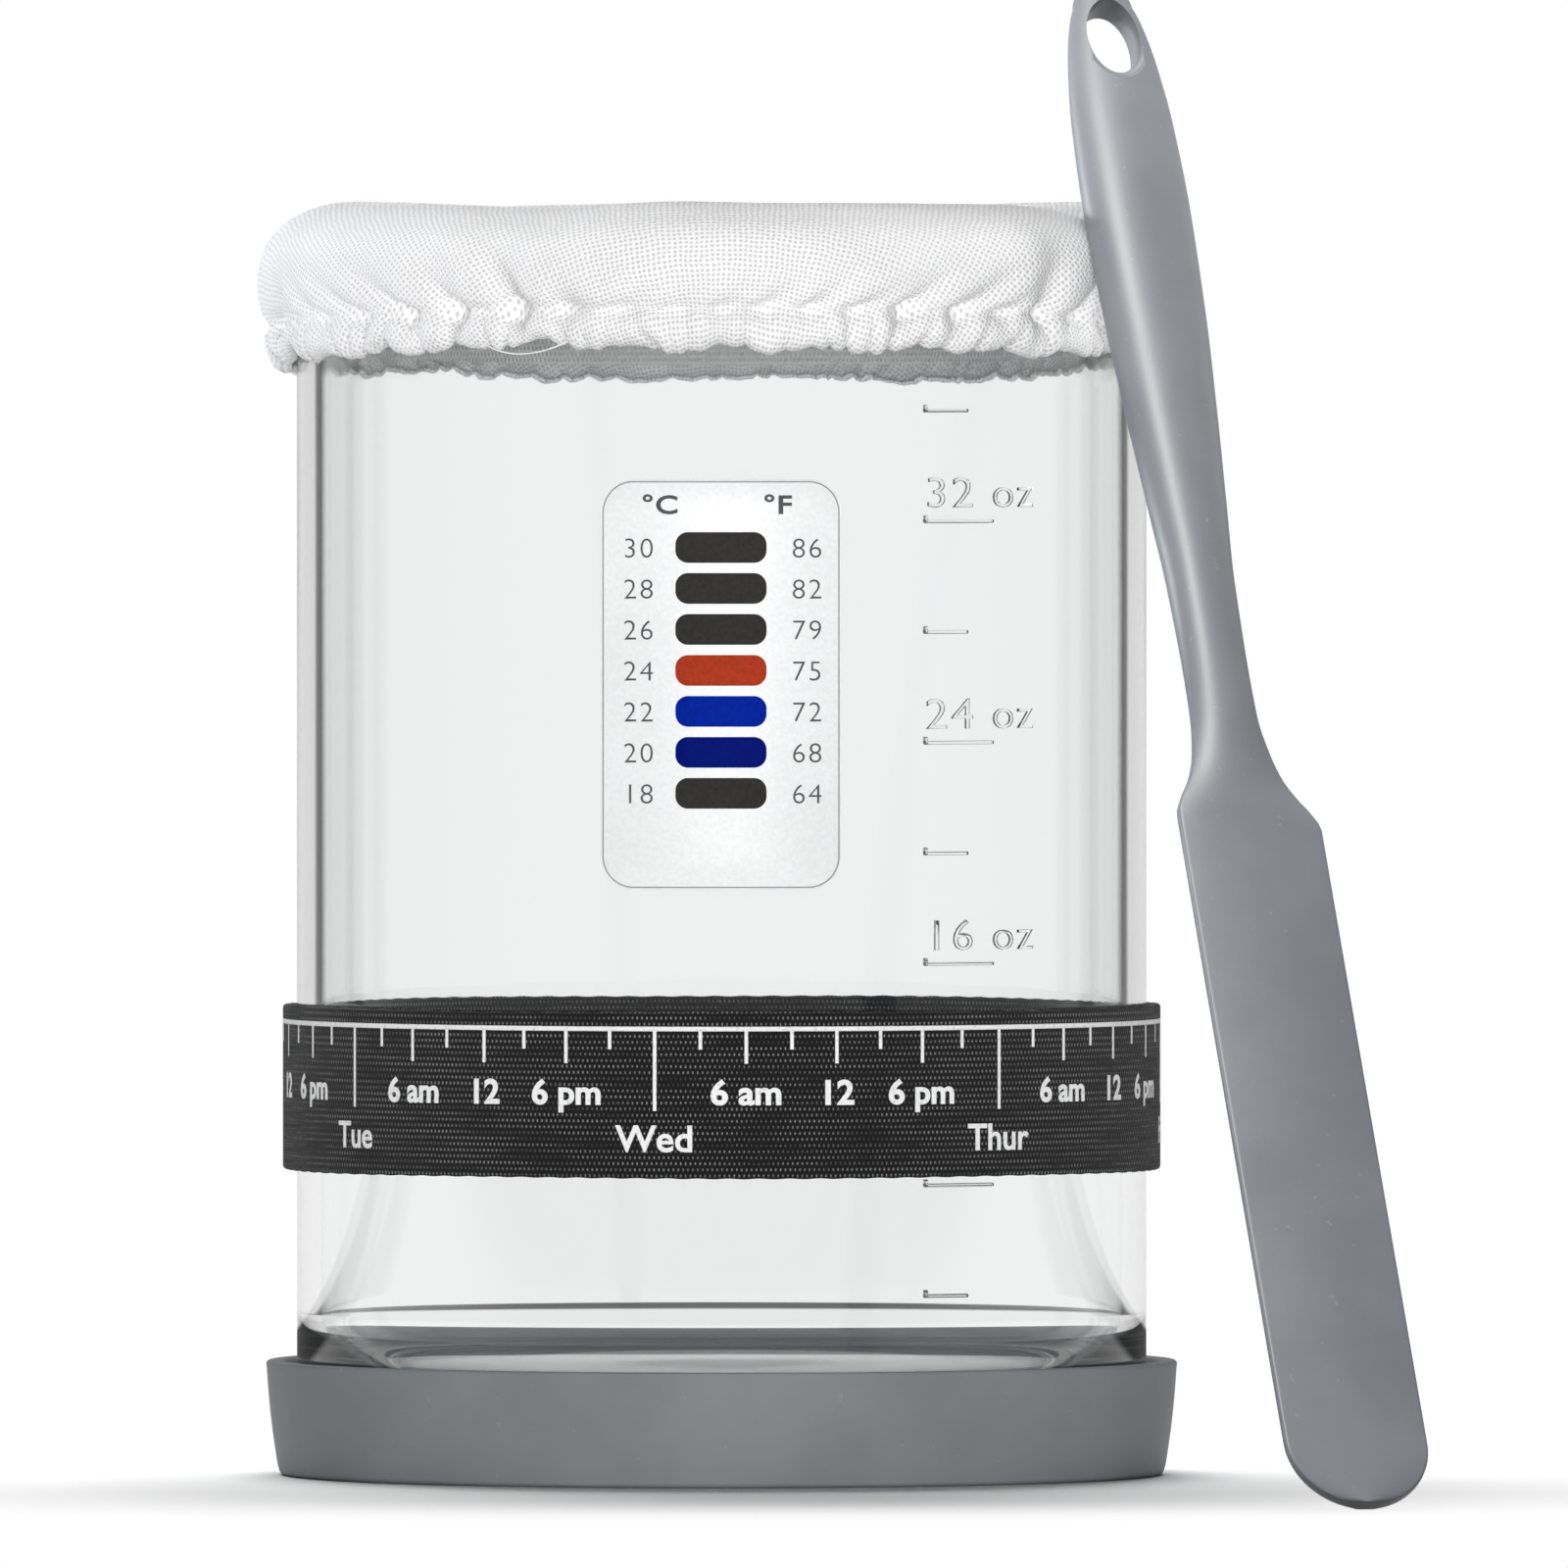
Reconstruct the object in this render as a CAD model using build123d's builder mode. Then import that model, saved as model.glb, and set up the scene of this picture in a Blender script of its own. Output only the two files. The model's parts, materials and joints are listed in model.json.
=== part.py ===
"""Sourdough starter jar with its cloth cover, feeding band, thermometer, silicone base and spatula.

Millimetres, +Z up. The origin is the centre of the base's underside, on the jar's axis. The front, where
the thermometer is, faces -Y, and the spatula leans on the cover at the front right.
"""

from build123d import *
import math
import os

os.makedirs("parts", exist_ok=True)

# Clearances, and one overrun for every cutting shape
moving_gap = 0.3
pocket_gap = 0.1
floor_gap = 0.05
cut_overrun = 2.0

# Glass jar: straight wall, heavy rounded floor, round lip
jar_radius = 54.5
jar_wall = 3.1
jar_height = 155.4
jar_floor = 4.8
jar_heel_radius = 5.0
jar_floor_corner = 9.0
jar_foot_land = 5.5
jar_punt_depth = 1.0
heel_flat_count = 3
floor_corner_flat_count = 2
lip_flat_count = 4

# Measuring marks moulded on the jar, a short and a long one by turns
mark_rim_margin = 14.0
mark_first_height = 20.17
mark_step = 14.07
mark_height = 1.1
mark_proud = 0.4
mark_root = 0.5
mark_bearing = 28.3
mark_short_arc = 6.8
mark_long_arc = 11.1

# Silicone base: a flared cup with sealing beads inside
base_height = 14.7
base_floor = 4.0
base_wall = 1.5
base_flare = 1.65
base_foot_edge = 0.8
base_rim_edge = 0.35
base_lead_in = 0.85
base_lead_in_depth = 3.0
bead_height = 0.5
bead_half_width = 0.6
bead_count = 2
bead_pitch = 3.2
bead_first_height = 2.4

# Thermometer strip, in layers from the glass outwards
strip_width = 30.7
strip_height = 52.0
strip_corner = 4.2
strip_hem_margin = 13.9
adhesive_thickness = 0.08
backing_thickness = 0.12
face_thickness = 0.12
laminate_thickness = 0.18
layer_gap = 0.03
laminate_margin = 0.4

# Windows of the thermometer, one for each temperature, hottest on top
window_width = 11.6
window_height = 3.9
window_pitch = 5.2
window_top_drop = 8.6
window_colours = ["dark", "dark", "dark", "red", "blue", "blue", "dark"]

# Cloth cover: a gathered cap with an elastic in its hem
cover_bulge = 4.8
cover_drop = 21.5
cover_rise = 4.0
cloth_thickness = 0.9
gather_count = 24
gather_point_count = 4
gather_depth = 1.0
gather_swing_share = 0.3
gather_swing_rate = 2.4
gather_size_share = 0.35
gather_size_rate = 1.7
shoulder_radius = 11.0
# below the shoulder: height as a share of the way up to it, stand-out as a share of the bulge, then the
# folds as a share of their full depth
cover_side_shares = [
    (0.00, 0.66, 0.80),
    (0.55, 0.80, 0.80),
    (1.00, 1.00, 0.80),
]
# over the shoulder: turn as a share of a quarter circle, then the folds as a share of their full depth
cover_shoulder_shares = [
    (0.32, 0.65),
    (0.64, 0.22),
    (1.00, 0.04),
]
hem_ledge = 8.4
hollow_corner_flat_count = 2
elastic_width = 5.4
elastic_thickness = 0.6
elastic_stand_off = 0.4
elastic_height = 1.8

# Feeding band: elastic webbing with a rubber core, its ends sewn in a lap at the back. Its place is a share
# of the free height between the base and the thermometer
band_width = 21.1
band_place_share = 0.612
band_gap = 0.8
band_thickness = 1.0
band_edge = 0.3
band_core_width = 14.4
band_core_thickness = 0.3
lap_thickness = 0.8
lap_arc = 14.0
lap_bearing = 188.0
lap_width = 20.3

# Spatula: silicone moulded over a stiff core, longer than the jar so that it stands out of it
spatula_over_length = 75.1
blade_left = 8.3
blade_right = 10.4
blade_end_flat = 0.3
blade_left_shoulder = 104.0
blade_right_shoulder = 101.6
blade_neck_height = 118.0
blade_neck_half_width = 4.3
left_bend_height = 109.8
left_bend_half_width = 5.6
right_bend_height = 108.2
right_bend_half_width = 6.2
blade_tip_half_thickness = 1.1
blade_root_half_thickness = 2.1
blade_edge_half_thickness = 0.6
handle_half_width = 7.0
handle_half_thickness = 4.8
blade_crown_count = 4
handle_flat_count = 20
# height as a share of the length, then half width and half thickness as shares of the handle's own
handle_section_shares = [
    (0.347, 0.41, 0.24),
    (0.430, 0.61, 0.42),
    (0.500, 0.60, 0.60),
    (0.565, 0.61, 0.72),
    (0.629, 0.69, 0.82),
    (0.690, 0.79, 0.90),
    (0.750, 0.89, 0.96),
    (0.805, 0.97, 1.00),
    (0.858, 1.00, 0.98),
    (0.905, 0.95, 0.89),
    (0.945, 0.84, 0.75),
    (0.975, 0.67, 0.58),
    (0.992, 0.46, 0.39),
    (1.000, 0.18, 0.17),
]
hang_hole_width = 6.8
hang_hole_length = 11.4
hang_hole_drop = 9.4
core_plate_half_width = 4.0
core_plate_half_thickness = 0.35
core_plate_low = 30.0
core_rod_half_width = 2.4
core_rod_half_thickness = 1.4
core_rod_low = 112.0
core_rod_end_drop = 25.5

# How the spatula leans: sideways and back for each millimetre of height, and its turn about its own length
lean_sideways_share = 0.165
lean_back_share = 0.66
spatula_turn = 20.0
contact_bearing = 56.0
contact_fold_depth = 0.6

# Levels and radii that follow from the sizes above
jar_foot_level = base_floor
jar_top_level = jar_foot_level + jar_height
jar_inner_radius = jar_radius - jar_wall
jar_punt_radius = jar_radius - jar_heel_radius - jar_foot_land
base_bore = jar_radius + moving_gap + bead_height
base_foot_radius = base_bore + base_wall
base_rim_radius = base_foot_radius + base_flare
cover_radius = jar_radius + cover_bulge
cover_top_level = jar_top_level + cover_rise
hem_level = cover_top_level - cover_drop
mark_count = 1 + math.floor((jar_height - mark_rim_margin - mark_first_height) / mark_step)
shoulder_level = cover_top_level - shoulder_radius
shoulder_ring = cover_radius - shoulder_radius
band_inner_radius = jar_radius + band_gap
band_outer_radius = band_inner_radius + band_thickness
strip_low_edge = hem_level - strip_hem_margin - strip_height
strip_mid_level = strip_low_edge + strip_height / 2
band_low_edge = base_height + band_place_share * (strip_low_edge - base_height - band_width)
band_mid_level = band_low_edge + band_width / 2
spatula_length = jar_height + spatula_over_length
core_rod_high = spatula_length - core_rod_end_drop
blade_end_radius = (blade_left + blade_right - blade_end_flat) / 2

made = []


def keep(name, part):
    """Label a finished piece and put it on the list to be written."""
    part.label = name
    made.append(part)


def round_points(centre, radius, start, end, flats):
    """Points of a rounding drawn as equal flats, from one angle to another in degrees."""
    points = []
    for number in range(flats + 1):
        angle = math.radians(start + (end - start) * number / flats)
        points.append((centre[0] + radius * math.cos(angle), centre[1] + radius * math.sin(angle)))
    return points


# The glass jar, turned about its axis
with BuildPart() as glass_jar:
    with BuildSketch(Plane.XZ):
        with BuildLine():
            foot = jar_foot_level
            floor_level = foot + jar_floor
            heel_centre = (jar_radius - jar_heel_radius, foot + jar_heel_radius)
            lip_centre = (jar_radius - jar_wall / 2, jar_top_level - jar_wall / 2)
            corner_centre = (jar_inner_radius - jar_floor_corner, floor_level + jar_floor_corner)
            Polyline(
                (0, foot + jar_punt_depth),
                (jar_punt_radius - jar_punt_depth, foot + jar_punt_depth),
                (jar_punt_radius, foot),
                *round_points(heel_centre, jar_heel_radius, -90, 0, heel_flat_count),
                *round_points(lip_centre, jar_wall / 2, 0, 180, lip_flat_count),
                *round_points(corner_centre, jar_floor_corner, 0, -90, floor_corner_flat_count),
                (0, floor_level),
                close=True,
            )
        make_face()
    revolve(axis=Axis.Z)
    for number in range(mark_count):
        level = jar_foot_level + mark_first_height + number * mark_step
        with BuildSketch(Plane.XZ.rotated((0, 0, mark_bearing - 90))):
            with Locations((jar_radius + (mark_proud - mark_root) / 2, level)):
                Rectangle(mark_proud + mark_root, mark_height)
        revolve(axis=Axis.Z, revolution_arc=mark_long_arc if number % 2 else mark_short_arc)
keep("glass_jar", glass_jar.part)

# The silicone base, a cup whose beads grip the heel of the jar
with BuildPart() as base_cup:
    with BuildSketch(Plane.XZ) as base_profile:
        with BuildLine():
            Polyline(
                (0, 0),
                (base_foot_radius, 0),
                (base_rim_radius, base_height),
                (base_bore + base_lead_in, base_height),
                (base_bore, base_height - base_lead_in_depth),
                (base_bore, base_floor),
                (0, base_floor),
                close=True,
            )
        make_face()
        foot_corner = base_profile.vertices().group_by(Axis.Y)[0].sort_by(Axis.X)[-1]
        chamfer(foot_corner, base_foot_edge)
        chamfer(base_profile.vertices().group_by(Axis.Y)[-1], base_rim_edge)
        for number in range(bead_count):
            bead_level = base_floor + bead_first_height + number * bead_pitch
            with BuildLine():
                Polyline(
                    (base_bore, bead_level - bead_half_width),
                    (base_bore + base_wall / 2, bead_level),
                    (base_bore, bead_level + bead_half_width),
                    (base_bore - bead_height, bead_level),
                    close=True,
                )
            make_face()
    revolve(axis=Axis.Z)
keep("base_cup", base_cup.part)


def bend_to_glass(inner_radius, outer_radius):
    """Keep only what lies between two radii round the jar's axis."""
    with Locations((0, 0, strip_mid_level)):
        Cylinder(outer_radius, strip_height + cut_overrun, mode=Mode.INTERSECT)
        Cylinder(inner_radius, strip_height + cut_overrun, mode=Mode.SUBTRACT)


def window_places(colour=None):
    """Places of the windows on the strip, all of them or those of one colour."""
    top = strip_low_edge + strip_height - window_top_drop
    return [
        (0, top - number * window_pitch)
        for number, each in enumerate(window_colours)
        if colour in (None, each)
    ]


adhesive_radius = jar_radius + layer_gap + adhesive_thickness
backing_radius = adhesive_radius + layer_gap + backing_thickness
face_radius = backing_radius + layer_gap + face_thickness
laminate_radius = face_radius + layer_gap + laminate_thickness

# The two full layers under the thermometer's face, and the clear laminate over it
for name, inside, outside, margin in (
    ("thermometer_adhesive", jar_radius + layer_gap, adhesive_radius, laminate_margin),
    ("thermometer_backing", adhesive_radius + layer_gap, backing_radius, laminate_margin),
    ("thermometer_laminate", face_radius + layer_gap, laminate_radius, 0),
):
    with BuildPart() as full_layer:
        with BuildSketch(Plane.XZ):
            with Locations((0, strip_mid_level)):
                RectangleRounded(strip_width - 2 * margin, strip_height - 2 * margin, strip_corner - margin)
        extrude(amount=jar_radius + cut_overrun)
        bend_to_glass(inside, outside)
    keep(name, full_layer.part)

# The silver face, with a window for each temperature
with BuildPart() as thermometer_face:
    with BuildSketch(Plane.XZ):
        with Locations((0, strip_mid_level)):
            RectangleRounded(strip_width, strip_height, strip_corner)
        with Locations(*window_places()):
            Rectangle(window_width, window_height, mode=Mode.SUBTRACT)
    extrude(amount=jar_radius + cut_overrun)
    bend_to_glass(backing_radius + layer_gap, face_radius)
keep("thermometer_face", thermometer_face.part)

# The liquid crystal cells that show through the windows, grouped by what they show at room temperature
for colour in sorted(set(window_colours)):
    with BuildPart() as cells:
        with BuildSketch(Plane.XZ):
            with Locations(*window_places(colour)):
                Rectangle(window_width, window_height)
        extrude(amount=jar_radius + cut_overrun)
        bend_to_glass(backing_radius + layer_gap, face_radius)
    keep(f"thermometer_cells_{colour}", cells.part)


def gathered_outline(radius, depth):
    """Draw a closed outline that swells out and in by turns, at uneven steps, as gathered cloth does."""
    points = []
    for number in range(gather_count * gather_point_count):
        swing = math.tau * number / gather_point_count
        turn = (number + gather_swing_share * math.sin(gather_swing_rate * number)) / gather_point_count
        size = 1 + gather_size_share * math.sin(gather_size_rate * (number // gather_point_count))
        reach = radius + depth * size * math.cos(swing)
        angle = math.tau * turn / gather_count
        points.append((reach * math.cos(angle), reach * math.sin(angle)))
    Polyline(*points, close=True)


def cover_sections():
    """Level, outermost radius and fold depth of each section of the cover, from the hem to the top."""
    for height_share, stand_share, depth_share in cover_side_shares:
        level = hem_level + height_share * (shoulder_level - hem_level)
        yield level, jar_radius + stand_share * cover_bulge, depth_share * gather_depth
    for turn_share, depth_share in cover_shoulder_shares:
        turn = turn_share * math.pi / 2
        level = shoulder_level + shoulder_radius * math.sin(turn)
        yield level, shoulder_ring + shoulder_radius * math.cos(turn), depth_share * gather_depth


# The cloth cover: gathered outside, hollow over the jar's lip, with a pocket for the elastic in its hem
elastic_inner_radius = jar_radius + elastic_stand_off
elastic_outer_radius = elastic_inner_radius + elastic_thickness
elastic_mid_level = hem_level + elastic_height + elastic_width / 2
hollow_radius = jar_radius + moving_gap
hollow_side = elastic_outer_radius + pocket_gap
hollow_top = jar_top_level + moving_gap
hollow_corner = hollow_side - (jar_radius - jar_wall / 2)
with BuildPart() as cover_cloth:
    for level, outer_radius, depth in cover_sections():
        with BuildSketch(Plane.XY.offset(level)):
            with BuildLine():
                gathered_outline(outer_radius - depth * (1 + gather_size_share), depth)
            make_face()
    loft(ruled=True)
    with BuildSketch(Plane.XZ):
        with BuildLine():
            corner_centre = (hollow_side - hollow_corner, hollow_top - hollow_corner)
            Polyline(
                (0, hem_level - cut_overrun),
                (hollow_radius, hem_level - cut_overrun),
                (hollow_radius, hem_level + hem_ledge),
                (hollow_side, hem_level + hem_ledge + pocket_gap),
                *round_points(corner_centre, hollow_corner, 0, 90, hollow_corner_flat_count),
                (jar_inner_radius, hollow_top),
                (0, cover_top_level - cloth_thickness),
                close=True,
            )
        make_face()
    revolve(axis=Axis.Z, mode=Mode.SUBTRACT)
    with Locations((0, 0, elastic_mid_level)):
        Cylinder(elastic_outer_radius + pocket_gap, elastic_width + 2 * pocket_gap, mode=Mode.SUBTRACT)
keep("cover_cloth", cover_cloth.part)

# The elastic that draws the hem in
with BuildPart() as cover_elastic:
    with BuildSketch(Plane.XY.offset(hem_level + elastic_height)):
        Circle(elastic_outer_radius)
        Circle(elastic_inner_radius, mode=Mode.SUBTRACT)
    extrude(amount=elastic_width)
keep("cover_elastic", cover_elastic.part)

# The feeding band's webbing, with a groove for its rubber core and the lapped end at the back
with BuildPart() as band_webbing:
    with BuildSketch(Plane.XY.offset(band_low_edge)):
        Circle(band_outer_radius)
        Circle(band_inner_radius, mode=Mode.SUBTRACT)
    extrude(amount=band_width)
    outer_edges = band_webbing.edges().group_by(SortBy.LENGTH)[-1]
    chamfer(outer_edges, band_edge)
    core_outer_radius = band_inner_radius + pocket_gap + band_core_thickness
    with Locations((0, 0, band_mid_level)):
        Cylinder(core_outer_radius + pocket_gap, band_core_width + 2 * pocket_gap, mode=Mode.SUBTRACT)
    lap_start = Plane.XZ.rotated((0, 0, lap_bearing - 90))
    with BuildSketch(lap_start):
        with Locations((band_outer_radius + (lap_thickness - band_edge) / 2, band_mid_level)):
            Rectangle(lap_thickness + band_edge, lap_width)
    revolve(axis=Axis.Z, revolution_arc=lap_arc)
keep("band_webbing", band_webbing.part)

# The rubber core of the band
with BuildPart() as band_rubber_core:
    with BuildSketch(Plane.XY.offset(band_mid_level - band_core_width / 2)):
        Circle(core_outer_radius)
        Circle(band_inner_radius + pocket_gap, mode=Mode.SUBTRACT)
    extrude(amount=band_core_width)
keep("band_rubber_core", band_rubber_core.part)


def leaning_plane():
    """Plane of the leaning spatula's face: X across it, Y up its length from the blade's end, Z to the front.

    The handle touches the cover's rounded shoulder, so its axis stands off the circle at the middle of that
    shoulder by the shoulder's radius less the fold it lies in, the gap and the handle's own reach.
    """
    up = Vector(-lean_sideways_share, lean_back_share, 1).normalized()
    front = Vector(0, -1, 0)
    front = (front - up * front.dot(up)).normalized()
    across = up.cross(front)
    turn = math.radians(spatula_turn)
    face = front * math.cos(turn) + across * math.sin(turn)
    width = across * math.cos(turn) - front * math.sin(turn)

    bearing = math.radians(contact_bearing)
    centre = Vector(shoulder_ring * math.sin(bearing), -shoulder_ring * math.cos(bearing), shoulder_level)
    along_ring = Vector(math.cos(bearing), math.sin(bearing), 0)
    outward = along_ring.cross(up).normalized()
    if outward.Y > 0:
        outward = -outward
    beside = outward.cross(up)
    reach_across = handle_half_width * outward.dot(width)
    reach_front = handle_half_thickness * outward.dot(face)
    reach = math.hypot(reach_across, reach_front)
    touch = width * (handle_half_width * reach_across) + face * (handle_half_thickness * reach_front)
    on_axis = centre + outward * (shoulder_radius - contact_fold_depth + moving_gap + reach)
    on_axis += beside * (touch.dot(beside) / reach)

    middle = (blade_right - blade_left) / 2
    end_reach = blade_end_radius * math.hypot(up.Z, width.Z) + blade_edge_half_thickness * abs(face.Z)
    lowest = blade_end_radius * up.Z + middle * width.Z - end_reach
    origin = on_axis - up * ((on_axis.Z - floor_gap + lowest) / up.Z)
    return Plane(origin=origin, x_dir=width, z_dir=face)


lean = leaning_plane()


def across_spatula(height):
    """Plane square to the spatula's length, at a height above the blade's end."""
    return Plane(origin=lean.origin + lean.y_dir * height, x_dir=lean.x_dir, z_dir=lean.y_dir)


def blade_section(half_thickness):
    """Draw the blade's crowned section, blunt at both edges."""
    reach = (blade_left + blade_right) / 2 + cut_overrun
    middle = (blade_right - blade_left) / 2
    crown = half_thickness - blade_edge_half_thickness
    points = []
    for number in range(blade_crown_count + 1):
        share = 2 * number / blade_crown_count - 1
        points.append((middle + share * reach, blade_edge_half_thickness + crown * (1 - share**2)))
    Polyline(*points, *[(across, -thick) for across, thick in reversed(points)], close=True)


def handle_section(half_width, half_thickness):
    """Draw the handle's oval section as a run of flats."""
    turns = [math.tau * number / handle_flat_count for number in range(handle_flat_count)]
    Polygon(*[(half_width * math.cos(turn), half_thickness * math.sin(turn)) for turn in turns], align=None)


# The stiff core that the spatula's silicone is moulded over
with BuildPart() as spatula_core:
    with BuildSketch(lean):
        with Locations((0, (core_plate_low + core_rod_low) / 2)):
            RectangleRounded(
                2 * core_plate_half_width,
                core_rod_low - core_plate_low + 2 * core_rod_half_width,
                core_rod_half_width,
            )
    extrude(amount=core_plate_half_thickness, both=True)
    with BuildSketch(lean):
        with Locations((0, (core_rod_low + core_rod_high) / 2)):
            SlotOverall(core_rod_high - core_rod_low, 2 * core_rod_half_width, rotation=90)
    extrude(amount=core_rod_half_thickness, both=True)

# The spatula's silicone: blade, handle and hanging hole
with BuildPart() as spatula_silicone:
    with BuildSketch(across_spatula(0)):
        with BuildLine():
            blade_section(blade_tip_half_thickness)
        make_face()
    with BuildSketch(across_spatula(blade_neck_height)):
        with BuildLine():
            blade_section(blade_root_half_thickness)
        make_face()
    loft(ruled=True)
    with BuildSketch(lean):
        with BuildLine():
            Line((-blade_left, blade_left_shoulder), (-blade_left, blade_end_radius))
            RadiusArc(
                (-blade_left, blade_end_radius),
                (blade_end_radius - blade_left, 0),
                -blade_end_radius,
            )
            Line((blade_end_radius - blade_left, 0), (blade_right - blade_end_radius, 0))
            RadiusArc(
                (blade_right - blade_end_radius, 0),
                (blade_right, blade_end_radius),
                -blade_end_radius,
            )
            Line((blade_right, blade_end_radius), (blade_right, blade_right_shoulder))
            ThreePointArc(
                (blade_right, blade_right_shoulder),
                (right_bend_half_width, right_bend_height),
                (blade_neck_half_width, blade_neck_height),
            )
            Line(
                (blade_neck_half_width, blade_neck_height),
                (-blade_neck_half_width, blade_neck_height),
            )
            ThreePointArc(
                (-blade_neck_half_width, blade_neck_height),
                (-left_bend_half_width, left_bend_height),
                (-blade_left, blade_left_shoulder),
            )
        make_face()
    extrude(amount=handle_half_thickness, both=True, mode=Mode.INTERSECT)
    for height_share, width_share, thickness_share in handle_section_shares:
        with BuildSketch(across_spatula(height_share * spatula_length)):
            handle_section(width_share * handle_half_width, thickness_share * handle_half_thickness)
    loft(ruled=True)
    with BuildSketch(lean):
        with Locations((0, spatula_length - hang_hole_drop)):
            Ellipse(hang_hole_width / 2, hang_hole_length / 2)
    extrude(amount=handle_half_thickness + cut_overrun, both=True, mode=Mode.SUBTRACT)
    add(spatula_core.part, mode=Mode.SUBTRACT)
keep("spatula_silicone", spatula_silicone.part)
keep("spatula_core", spatula_core.part)

for part in made:
    export_step(part, f"parts/{part.label}.step")
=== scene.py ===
"""Looks of the sourdough starter jar.

The set is a glass jar in a silicone base, with a cloth cover, a feeding band, a thermometer and a spatula.
Metres, +Z up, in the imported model's own frame. A bearing is an angle round the jar, in degrees, from the
front (-Y) towards +X.
"""

import json
import logging
import math
from dataclasses import dataclass
from enum import Enum
from typing import Callable, Sequence

import bmesh
import bpy
import numpy as np
from mathutils import Matrix, Vector

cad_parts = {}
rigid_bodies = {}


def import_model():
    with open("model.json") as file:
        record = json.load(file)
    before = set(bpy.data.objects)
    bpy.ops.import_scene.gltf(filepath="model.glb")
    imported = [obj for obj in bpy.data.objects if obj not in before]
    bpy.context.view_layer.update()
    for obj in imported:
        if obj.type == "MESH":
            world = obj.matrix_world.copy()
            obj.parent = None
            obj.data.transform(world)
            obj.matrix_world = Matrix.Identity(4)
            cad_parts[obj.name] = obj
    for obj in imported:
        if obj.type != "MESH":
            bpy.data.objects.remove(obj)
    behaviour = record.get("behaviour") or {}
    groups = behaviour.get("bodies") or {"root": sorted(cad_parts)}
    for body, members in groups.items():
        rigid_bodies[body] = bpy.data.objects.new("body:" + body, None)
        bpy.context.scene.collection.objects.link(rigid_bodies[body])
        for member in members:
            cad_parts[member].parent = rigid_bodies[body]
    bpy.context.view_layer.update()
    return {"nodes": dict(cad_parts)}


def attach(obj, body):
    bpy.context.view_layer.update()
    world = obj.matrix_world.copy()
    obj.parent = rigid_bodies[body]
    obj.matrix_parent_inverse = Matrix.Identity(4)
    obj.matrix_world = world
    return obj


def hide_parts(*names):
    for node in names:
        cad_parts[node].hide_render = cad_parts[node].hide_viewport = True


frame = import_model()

MM = 0.001
Pair = tuple[float, float]
Colour = tuple[float, float, float]
Place = tuple[float, float, float]
Item = bpy.types.Object
Material = bpy.types.Material
Mesh = bpy.types.Mesh
Node = bpy.types.Node
Socket = bpy.types.NodeSocket
log = logging.getLogger("starter_jar")


class Body(str, Enum):
    """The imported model's bodies."""

    BASE = "base"
    JAR = "jar"
    COVER = "cover"
    SLIDER = "band_slider"
    BAND = "band"
    SPATULA = "spatula"


class Anchor(str, Enum):
    """Which point of a line of text stands at its bearing."""

    LEFT = "LEFT"
    MIDDLE = "CENTER"


class Reach(str, Enum):
    """How a lamp is tied to a piece: it lights that piece alone, or all but that piece."""

    ONLY = "INCLUDE"
    ALL_BUT = "EXCLUDE"


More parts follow.
